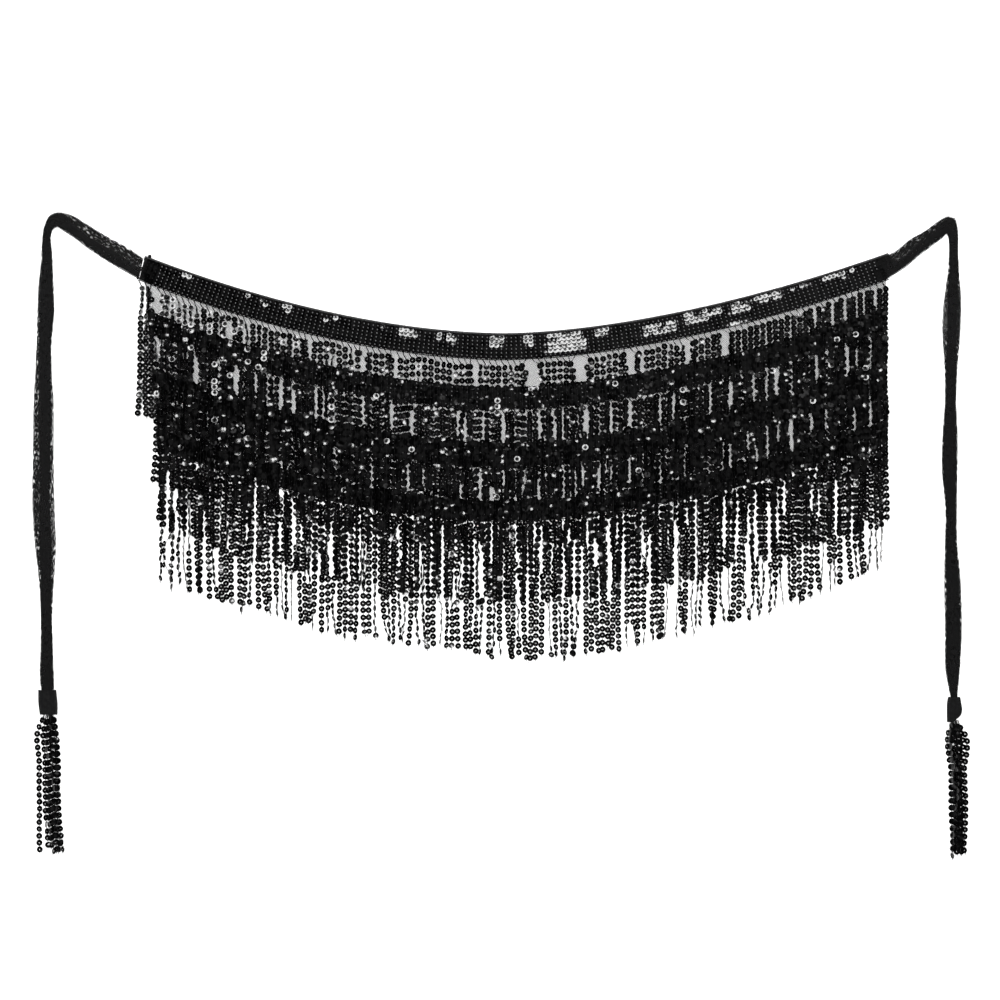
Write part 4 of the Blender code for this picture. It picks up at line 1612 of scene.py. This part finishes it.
    def shining(self, chance: Generator, spots: ndarray, drop: ndarray,
                kept: ndarray) -> ndarray:
        """Which sequins are turned to the light: the ones at SHINES, and a few strewn ones.

        Args:
            chance: The source of random numbers.
            spots: Where the sequins are.
            drop: Their drops.
            kept: Which of them there are.

        Returns:
            True for each sequin that is.
        """
        luck = chance.random(drop.shape)
        shining = luck < self.sparkle
        if self.left_sparkle:
            shining |= self.left_sparkle.chosen(luck, spots[..., 0], drop)
        for x, y in SHINES:
            away = np.hypot(spots[..., 0] - x * MM, spots[..., 1] - y * MM)
            nearest = np.unravel_index(np.argmin(np.where(kept, away, 1.0)), away.shape)
            if drop[nearest] > self.bare_from and away[nearest] < self.shine_reach:
                shining[nearest] = True
        return shining

    def run_threads(self, finishes: Finishes, strings: Strings, spots: ndarray, kept: ndarray) -> None:
        """Run a thread down each string from its root, and a chain of thread along the seam.

        Args:
            finishes: The belt's finishes.
            strings: The tier's strings.
            spots: Where the sequins are.
            kept: Which of them there are.
        """
        chance = self.chance(Draw.THREADS)
        gathered = Gathered()
        shares = np.linspace(0.0, 1.0, 6)[:, None]
        lead_shares = np.concatenate((soft_step(shares), shares, shares), 1)
        for index, root_x in enumerate(strings.root_x):
            hung = spots[index][kept[index]]
            root = np.array((root_x - self.root_slant, 0.0, self.header_low + self.root_height))
            root[1] = WAIST.y(root[0]) - self.drop - self.root_cover
            lead = root + (hung[0] - root) * lead_shares
            between = (hung[1:] + hung[:-1]) / 2.0
            swing = chance.normal(0.0, self.tail_swing)
            length = self.tail_length + chance.uniform(0.0, self.tail_uneven)
            tail = hung[-1] + np.array((swing, -length * MM, 0.0))
            tail[2] = min(tail[2], self.header_low + self.tail_height)
            path = np.concatenate((lead[-1:], between, hung[-1:], tail[None]))
            gathered.add(*thread(path, self.thread_radius))
            gathered.add(*thread(lead, self.root_radius, 4))
        x = np.linspace(self.left_x, self.right_x, self.chain_points)
        beat = self.chain_beat * np.sin(2.0 * math.pi * x / self.chain_pitch)
        y = WAIST.y(x) - self.drop - self.chain_cover + beat
        chain = np.stack((x, y, np.full(len(x), self.header_low + self.chain_height)), -1)
        gathered.add(*thread(chain, self.chain_radius, 5, along_x=True))
        gathered.piece(f"fringe_{self.number}_threads", finishes.string, Slot.FRINGE_SEQUINS)


def fringe_tiers() -> list[FringeTier]:
    """The four tiers of fringe, from the waistband's down to the lowest.

    Returns:
        The four tiers.
    """
    return [
        FringeTier(
            1, WAISTBAND_BOTTOM, -360.4 * MM, 389.5 * MM, CLOTH_LOW,
            tips=((-360, 166), (0, 168), (389, 165)),
            heights=((29, 1.3), (52, 2.8), (105, 4.9), (163, 7.5)),
            left_flare=2.6 * MM, left_sparkle=LeftSparkle(), edge_on=0.12, mood_reach=3.0,
            first_gap=5.4 * MM, thin_starts=(5, 8, 0), flat_from=230.0 * MM,
            crowded=((-345, -200, -150, 140, 180, 260, 322), (0.84, 0.86, 1.0, 1.0, 0.9, 0.82, 0.72)),
        ),
        FringeTier(
            2, 76.0 * MM, -346.5 * MM, 389.5 * MM, CLOTH_LOW,
            tips=((-346, 221), (0, 214), (389, 216)),
            heights=((79, 1.3), (107, 2.8), (163, 5.1)), bare_from=168.0 * MM, edge_on=0.2,
        ),
        FringeTier(
            3, 134.0 * MM, -344.0 * MM, 389.0 * MM, CLOTH_LOW,
            tips=((-344, 268), (0, 272), (389, 269)),
            heights=((137, 1.3), (164, 2.8)), bare_from=218.0 * MM, edge_on=0.25,
            stagger=1.8 * MM, tail_sway=2.2 * MM,
        ),
        FringeTier(
            4, PANEL_BOTTOM, -342.0 * MM, 386.5 * MM, 0.3 * MM,
            tips=((-342, 326), (-280, 320), (-180, 322), (-80, 320), (35, 331), (110, 329), (240, 323),
                  (330, 319), (386, 312)),
            heights=((191, 0.3),), edge_on=0.42, bare_from=270.0 * MM, stagger=2.2 * MM,
            tail_sway=2.6 * MM, tail_turn=0.75, first_gap=4.9 * MM,
        ),
    ]


@dataclass(frozen=True)
class TieRow:
    """A section across a tie, in millimetres, and how far its thin edges reach in."""

    outer_x: float
    outer_y: float
    inner_x: float
    inner_y: float
    outer_thin: float = 0.06
    inner_thin: float = 0.06


LEFT_TIE = tuple(TieRow(*row) for row in (
    (-356.2, 278.0, -361.3, 255.2, 0.41, 0.05), (-368.7, 286.6, -380.1, 265.5, 0.41, 0.05),
    (-395.5, 301.5, -406.6, 282.0, 0.41, 0.05), (-415.0, 313.5, -428.2, 297.8, 0.32, 0.05),
    (-428.2, 321.0, -437.5, 304.0, 0.15, 0.05), (-441.5, 323.8, -443.1, 307.2),
    (-449.8, 321.0, -446.8, 304.8), (-455.0, 312.5, -448.4, 300.0), (-458.2, 296.0, -448.2, 292.0),
    (-459.3, 276.0, -446.7, 276.0), (-462.4, 247.0, -445.6, 247.0, 0.14, 0.06),
    (-463.3, 225.0, -444.7, 225.0, 0.14, 0.06), (-464.2, 190.0, -447.6, 190.0, 0.18, 0.06),
    (-465.4, 165.0, -447.4, 165.0, 0.22, 0.06),
    (-467.1, 135.0, -445.6, 135.0, 0.24, 0.1), (-468.1, 80.0, -445.3, 80.0, 0.26, 0.12),
    (-468.3, 20.0, -444.0, 20.0, 0.26, 0.14), (-466.3, -8.0, -443.0, -8.0, 0.22, 0.14),
    (-462.2, -41.0, -444.8, -41.0, 0.14, 0.18), (-459.8, -75.0, -447.1, -75.0),
    (-459.9, -110.0, -446.5, -110.0), (-460.3, -148.0, -445.2, -148.0),
))
RIGHT_TIE = tuple(TieRow(*row) for row in (
    (388.9, 281.8, 389.4, 256.0, 0.15, 0.05), (394.6, 283.6, 404.7, 266.0, 0.41, 0.05),
    (408.7, 295.5, 420.8, 279.4, 0.45, 0.05), (427.5, 306.4, 438.2, 292.8, 0.36, 0.05),
    (440.9, 316.2, 444.2, 297.2, 0.15, 0.05), (448.9, 320.0, 447.2, 300.1), (455.6, 318.2, 448.7, 297.0),
    (458.7, 309.0, 449.2, 292.0), (459.5, 285.0, 449.3, 283.0), (460.2, 268.0, 448.7, 268.0),
    (462.8, 231.0, 443.6, 231.0, 0.2, 0.2), (461.8, 199.0, 442.5, 199.0, 0.2, 0.2),
    (459.2, 170.0, 444.5, 170.0), (457.6, 135.0, 445.2, 135.0), (459.1, 103.0, 442.9, 103.0),
    (459.0, 65.0, 442.1, 65.0), (458.2, 23.0, 445.8, 23.0), (458.6, -8.0, 445.2, -8.0),
    (461.9, -41.0, 444.4, -41.0), (463.3, -100.0, 445.2, -100.0), (461.2, -137.0, 445.9, -137.0),
    (459.2, -156.0, 449.6, -156.0),
))


@dataclass(frozen=True)
class CuffRow:
    """A section across a cuff, in millimetres."""

    y: float
    middle_x: float
    width: float
    height: float


LEFT_CUFF = (
    CuffRow(-155.0, -452.4, 17.6, 6.2),
    CuffRow(-168.0, -451.7, 18.8, 6.4),
    CuffRow(-179.6, -451.0, 17.4, 6.2),
)
RIGHT_CUFF = (
    CuffRow(-162.0, 454.7, 11.4, 6.2),
    CuffRow(-169.0, 454.7, 13.6, 6.4),
    CuffRow(-177.0, 455.1, 14.8, 6.4),
    CuffRow(-187.0, 454.5, 13.8, 6.2),
)


@dataclass(frozen=True)
class FoldedTie:
    """A net tie folded lengthwise to eight layers: one sheet that runs to and fro across the tie."""

    side: str
    rows: tuple
    cuff: tuple
    seed: int
    layers: int = 8
    step: float = 2.5 * MM
    low: float = 0.2 * MM
    cloth_area: float = 48.0 * MM * MM
    thin: float = 1.6 * MM
    thick: float = 3.0 * MM
    flat_width: float = 96.0 * MM
    in_cuff: tuple = (1.0, -9.0)
    cuff_room: float = 1.7
    cuff_thin: float = 0.06
    least_margin: float = 0.02
    uneven_margin: float = 0.05
    margin_reach: float = 14.0
    full_layers: tuple = (1, 2, 3, 4)
    full_margin: float = 0.04
    fold_shares: tuple = (0.0, 0.1, 0.5, 0.9)
    crease: float = 0.06
    crease_reach: float = 10.0
    turn_drop: float = 0.5
    layer_shift: float = 0.37
    shift_pitch: float = 0.78
    shift_along: float = 0.7

    def build(self, finishes: Finishes) -> Object:
        """Fold the net along the tie's path.

        Args:
            finishes: The belt's finishes.

        Returns:
            The tie.
        """
        table = [astuple(row) for row in self.rows]
        outward = math.copysign(1.0, self.rows[-1].outer_x - self.rows[-1].inner_x)
        cuff = self.cuff[0]
        half = outward * (cuff.width / 2.0 - self.cuff_room)
        for step in self.in_cuff:
            y = cuff.y + step
            table.append((cuff.middle_x + half, y, cuff.middle_x - half, y, self.cuff_thin, self.cuff_thin))
        values = np.array(table) * (MM, MM, MM, MM, 1.0, 1.0)
        stations = run_along((values[:, 0:2] + values[:, 2:4]) / 2.0)
        at = np.arange(0.0, stations[-1], self.step)
        along = smooth_through(stations, values, at)
        points, flat = self.fold(along[:, 0:2], along[:, 2:4], along[:, 4], along[:, 5], at)
        gathered = Gathered()
        gathered.add(points, sheet_faces(points.shape[0], points.shape[1]), flat)
        tie = gathered.piece(f"tie_{self.side}_net", finishes.tie_net, Slot.NET)
        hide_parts(f"tie_{self.side}")
        return tie

    def fold(self, outer: ndarray, inner: ndarray, outer_thin: ndarray, inner_thin: ndarray,
             at: ndarray) -> tuple[ndarray, ndarray]:
        """Points of the folded sheet and their places on the flat cut.

        Args:
            outer: The tie's outer edge along its length.
            inner: Its inner edge.
            outer_thin: The share of the width where only the lowest folds reach the outer edge.
            inner_thin: The same for the inner edge.
            at: The distances along the tie.

        Returns:
            Points of shape (length, across, 3) and flat places of shape (length, across, 2).
        """
        chance = np.random.default_rng(self.seed)
        width = np.hypot(*(outer - inner).T)
        thickness = np.clip(self.cloth_area / width, self.thin, self.thick)
        uneven = drift(chance, self.layers + 1, len(at), self.margin_reach) + 1.0
        margins = self.least_margin + self.uneven_margin * uneven
        edges = []
        for edge, margin in enumerate(margins):
            at_outer = edge % 2 == 1
            if edge in self.full_layers:
                margin = np.minimum(margin, self.full_margin)
            else:
                margin = margin + (outer_thin if at_outer else inner_thin)
            edges.append(1.0 - margin if at_outer else margin)
        columns, heights, shifts = [], [], []
        for layer in range(self.layers):
            start, end = edges[layer], edges[layer + 1]
            for share in self.fold_shares:
                columns.append(start + (end - start) * share)
                heights.append(layer - (self.turn_drop if share == 0.0 and layer > 0 else 0.0))
                shifts.append(layer * self.layer_shift % self.shift_pitch)
        columns.append(edges[-1])
        heights.append(self.layers - 1)
        shifts.append(0.0)
        share = np.array(columns).T
        level = np.array(heights)[None, :] / self.layers
        crease = self.crease * drift(chance, len(columns), len(at), self.crease_reach).T
        z = self.low + (level + 0.03 + np.abs(crease) * (level > 0.5)) * thickness[:, None]
        xy = inner[:, None, :] + (outer - inner)[:, None, :] * share[..., None]
        shift = np.array(shifts)[None, :] * MM
        flat = np.stack((share * width[:, None] + shift, at[:, None] + self.shift_along * shift), -1)
        return np.concatenate((xy, z[..., None]), -1), flat


@dataclass(frozen=True)
class Cuff:
    """A short knitted sleeve round the end of a tie and the head of its tassel."""

    side: str
    rows: tuple
    gathers: int
    gather_depth: float
    seed: int
    slant: float = 0.0
    around: int = 72
    along: int = 18
    rib: float = 0.12 * MM
    rib_reach: float = 2.0
    ruffle: float = 0.4 * MM
    ruffle_reach: float = 5.0
    slant_from: float = -0.2
    flat_sides: float = 0.55
    flat_faces: float = 0.7
    least_gather: float = 0.25
    floor_gap: float = 0.05 * MM
    girth_share: float = 0.9

    def build(self, finishes: Finishes) -> Object:
        """Knit the sleeve with its ribs and gathers.

        Args:
            finishes: The belt's finishes.

        Returns:
            The cuff.
        """
        table = np.array([(row.middle_x, row.width, row.height) for row in self.rows]) * MM
        ys = -np.array([row.y for row in self.rows]) * MM
        at = np.linspace(ys[0], ys[-1], self.along)[:, None]
        middle, width, height = smooth_through(ys, table, at[:, 0]).T[..., None]
        angle = round_turn(self.around)
        round_x, round_z = (np.sign(wave) * np.abs(wave) ** power for wave, power in (
            (np.cos(angle), self.flat_sides), (np.sin(angle), self.flat_faces)))
        chance = np.random.default_rng(self.seed)
        ribs = drift(chance, 1, self.around, self.rib_reach) * self.rib
        gathers = np.cos(angle * self.gathers) * self.gather_depth
        fade = np.linspace(1.0, self.least_gather, self.along)[:, None]
        swell = 1.0 + (ribs + gathers[None, :] * fade) / (width / 2.0)
        down = np.linspace(0.0, 1.0, self.along)[:, None]
        x = middle + round_x * width / 2.0 * swell
        y = -at + self.ruffle * drift(chance, 1, self.around, self.ruffle_reach) * down[::-1]
        outward = np.clip((x - middle) / (width / 2.0) - self.slant_from, 0.0, None)
        y = y + self.slant * outward * down ** 2
        z = height / 2.0 * (1.0 + round_z * swell * 0.97)
        girth = 2.0 * (float(width.mean()) + float(height.mean())) * self.girth_share
        flat = np.stack(np.broadcast_arrays(angle / (2.0 * math.pi) * girth, at), -1)
        gathered = Gathered()
        gathered.add(np.stack((x, y, np.maximum(z, self.floor_gap)), -1),
                     sheet_faces(self.along, self.around, closed=True), flat)
        cuff = gathered.piece(f"cuff_{self.side}_knit", finishes.cuff_knit, Slot.TAPE)
        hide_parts(f"cuff_{self.side}")
        return cuff


@dataclass(frozen=True)
class TasselRow:
    """How wide a tassel spreads at one y, in millimetres."""

    y: float
    left_x: float
    right_x: float


@dataclass(frozen=True)
class TasselString:
    """One string of a tassel: its place across the spread, its layer, and how it lies."""

    across: float
    layer: int
    shorter: float
    edge_on: float


LEFT_TASSEL = (
    TasselRow(-181.0, -458.0, -443.5),
    TasselRow(-192.0, -464.0, -441.2),
    TasselRow(-228.0, -464.6, -439.0),
    TasselRow(-280.0, -464.0, -438.4),
    TasselRow(-319.5, -462.5, -433.6),
)
RIGHT_TASSEL = (
    TasselRow(-188.0, 449.5, 459.5),
    TasselRow(-196.0, 446.0, 466.0),
    TasselRow(-236.0, 448.0, 467.6),
    TasselRow(-286.0, 449.5, 468.4),
    TasselRow(-323.8, 449.6, 468.4),
)
LEFT_TASSEL_STRINGS = tuple(TasselString(*row) for row in (
    (0.0, 0, 1.0, 0.05), (0.33, 0, 3.0, 0.15), (0.5, 1, 6.0, 0.3), (0.62, 0, 0.5, 0.15),
    (1.0, 0, 0.0, 0.2), (0.78, 1, 2.0, 0.4), (0.95, 1, 5.0, 0.3), (0.86, 0, 1.5, 0.2),
))
RIGHT_TASSEL_STRINGS = tuple(TasselString(*row) for row in (
    (0.0, 0, 0.0, 0.5), (0.22, 0, 5.0, 0.4), (0.45, 0, 1.0, 0.3), (0.7, 0, 4.0, 0.4), (1.0, 1, 1.0, 0.05),
    (0.1, 1, 6.0, 0.5), (0.35, 1, 0.5, 0.4), (0.55, 1, 3.0, 0.4), (0.8, 0, 2.0, 0.3),
))


@dataclass(frozen=True)
class Tassel:
    """A tassel: strings of sequins that leave a cuff and spread a little."""

    side: str
    rows: tuple
    strings: tuple
    seed: int
    head: float
    uneven_head: tuple = (-1.5, 2.0)
    pitch: float = 6.82 * MM
    end_gap: float = 2.6 * MM
    wander: float = 0.9 * MM
    wander_reach: float = 6.0
    steep: float = 50.0
    mood_reach: float = 5.0
    mood_edge: float = 0.2
    uneven_roll: float = 9.0
    uneven_tilt: float = 8.0
    clearance: float = 0.5 * MM
    layer_rise: float = 2.4 * MM
    thread_radius: float = 0.25 * MM
    head_radius: float = 0.45 * MM
    head_rise: float = 3.0 * MM
    head_shares: tuple = (0.6, 0.4)
    tail_swing: float = 1.0 * MM
    tail_length: float = 4.5 * MM
    tail_drop: float = 1.0 * MM

    def build(self, finishes: Finishes) -> Object:
        """String the tassel.

        Args:
            finishes: The belt's finishes.

        Returns:
            The sequins.
        """
        chance = np.random.default_rng(self.seed)
        sequins, threads = Gathered(), Gathered()
        for string in self.strings:
            self.hang(string, chance, sequins, threads)
        made = sequins.piece(f"tassel_{self.side}_sequins", finishes.strung, Slot.FRINGE_SEQUINS)
        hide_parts(f"tassel_{self.side}")
        threads.piece(f"tassel_{self.side}_threads", finishes.string, Slot.FRINGE_SEQUINS)
        return made

    def hang(self, string: TasselString, chance: Generator, sequins: Gathered,
             threads: Gathered) -> None:
        """Hang one string.

        Args:
            string: How it lies.
            chance: The source of random numbers.
            sequins: The mesh its sequins are added to.
            threads: The mesh its thread is added to.
        """
        table = np.array([(row.left_x, row.right_x) for row in self.rows]) * MM
        fall = np.array([self.rows[0].y - row.y for row in self.rows]) * MM
        top = self.rows[0].y * MM
        start = (self.head + chance.uniform(*self.uneven_head)) * MM
        at = np.arange(start, fall[-1] - string.shorter * MM - self.end_gap, self.pitch)
        count = len(at)
        wander = drift(chance, 1, count, self.wander_reach)[0] * self.wander
        left, right = smooth_through(fall, table, at).T
        inset = STRUNG_SEQUIN.outer
        x = left + inset + (right - left - 2.0 * inset) * string.across + wander
        mood = drift(chance, 1, count, self.mood_reach)[0]
        limit = np.quantile(mood, 1.0 - string.edge_on)
        turned = soft_step((mood - limit) / self.mood_edge + 0.5)
        roll = turned * math.radians(self.steep) + np.radians(chance.normal(0.0, self.uneven_roll, count))
        tilt = np.tan(np.radians(chance.normal(0.0, self.uneven_tilt, count)))
        face = np.stack((-np.sin(roll), tilt, np.cos(roll)), -1)
        across, down = frame_to(np.broadcast_to((0.0, -1.0, 0.0), face.shape), unit(face))
        z = self.clearance + string.layer * self.layer_rise + STRUNG_SEQUIN.lift(across, down)
        spots = np.stack((x, top - at, z), -1)
        dish = either_way(chance, count) * chance.uniform(0.5, 1.0, count)
        STRUNG_SEQUIN.add_many(sequins, spots, across, down, dish)
        head_x = x[0] * self.head_shares[0] + table[0].mean() * self.head_shares[1]
        head = np.array(((head_x, top + self.head_rise, self.head_rise),))
        swing = chance.normal(0.0, self.tail_swing)
        tail = spots[-1:] + np.array(((swing, -self.tail_length, -self.tail_drop),))
        between = (spots[1:] + spots[:-1]) / 2.0
        threads.add(*thread(np.concatenate((head, spots[:1])), self.head_radius, 5))
        threads.add(*thread(np.concatenate((spots[:1], between, tail)), self.thread_radius))


@dataclass(frozen=True)
class EndSeam:
    """The hand stitches that join a tie to the waistband, and the knot that ends the binding.

    The stitches' places and the knot's are in millimetres.
    """

    name: str
    stitches: tuple
    knot: tuple
    radius: float = 0.9 * MM
    reach: float = 2.4 * MM
    knot_radius: float = 1.9 * MM
    slant: float = 0.5 * MM
    top: float = 2.9
    arch: float = 1.1
    stitch_points: int = 7
    stitch_sides: int = 6
    knot_rows: int = 7
    knot_sides: int = 10
    knot_bumps: float = 0.12
    knot_flat: float = 0.7

    def build(self, finishes: Finishes) -> Object:
        """Sew the stitches and tie the knot.

        Args:
            finishes: The belt's finishes.

        Returns:
            The stitches with their knot.
        """
        gathered = Gathered()
        across = np.linspace(-1.0, 1.0, self.stitch_points)
        for x, y in self.stitches:
            path = np.stack((x * MM + across * self.reach, y * MM + across * self.slant,
                             (self.top - self.arch * across ** 4) * MM), -1)
            gathered.add(*thread(path, self.radius, self.stitch_sides, along_x=True))
        share = np.linspace(0.05, 0.95, self.knot_rows)[:, None] * math.pi
        turn = round_turn(self.knot_sides)
        bumpy = 1.0 + self.knot_bumps * np.cos(3.0 * turn + 2.0 * share)
        ball = np.stack((np.sin(share) * np.cos(turn) * bumpy, np.cos(share) + 0.0 * turn,
                         self.knot_flat * np.sin(share) * np.sin(turn) * bumpy), -1)
        gathered.add(np.array(self.knot) * MM + ball * self.knot_radius,
                     sheet_faces(self.knot_rows, self.knot_sides, closed=True))
        return gathered.piece(self.name, finishes.string, Slot.TAPE)


LEFT_SEAM = EndSeam(
    "left_seam_stitches", ((-357.4, 267.3), (-357.9, 265.2), (-360.6, 257.0)), (-349.8, 278.6, 2.6),
)
RIGHT_SEAM = EndSeam(
    "right_seam_stitches", tuple((388.7 + 0.1 * (k % 2), 258.2 + 2.05 * k) for k in range(11)),
    (388.6, 280.0, 2.4), 1.15 * MM, 1.5 * MM, 1.2 * MM,
)


def main() -> None:
    """Build and dress the belt, piece by piece."""
    logging.basicConfig(level=logging.INFO, format="%(name)s %(message)s")
    studio = Studio()
    studio.build()
    finishes = Finishes()
    NetPanel().build(finishes)
    EdgeBinding().build(finishes)
    for band in sequin_bands():
        band.build(finishes, studio)
    for tier in fringe_tiers():
        tier.build(finishes, studio)
    FoldedTie("left", LEFT_TIE, LEFT_CUFF, seed=31).build(finishes)
    FoldedTie("right", RIGHT_TIE, RIGHT_CUFF, seed=32).build(finishes)
    Cuff("left", LEFT_CUFF, gathers=6, gather_depth=0.15 * MM, seed=33).build(finishes)
    Cuff("right", RIGHT_CUFF, gathers=9, gather_depth=0.5 * MM, seed=34, slant=6.0 * MM).build(finishes)
    Tassel("left", LEFT_TASSEL, LEFT_TASSEL_STRINGS, seed=35, head=4.5).build(finishes)
    Tassel("right", RIGHT_TASSEL, RIGHT_TASSEL_STRINGS, seed=36, head=4.0).build(finishes)
    LEFT_SEAM.build(finishes)
    RIGHT_SEAM.build(finishes)


if __name__ == "__main__":
    main()
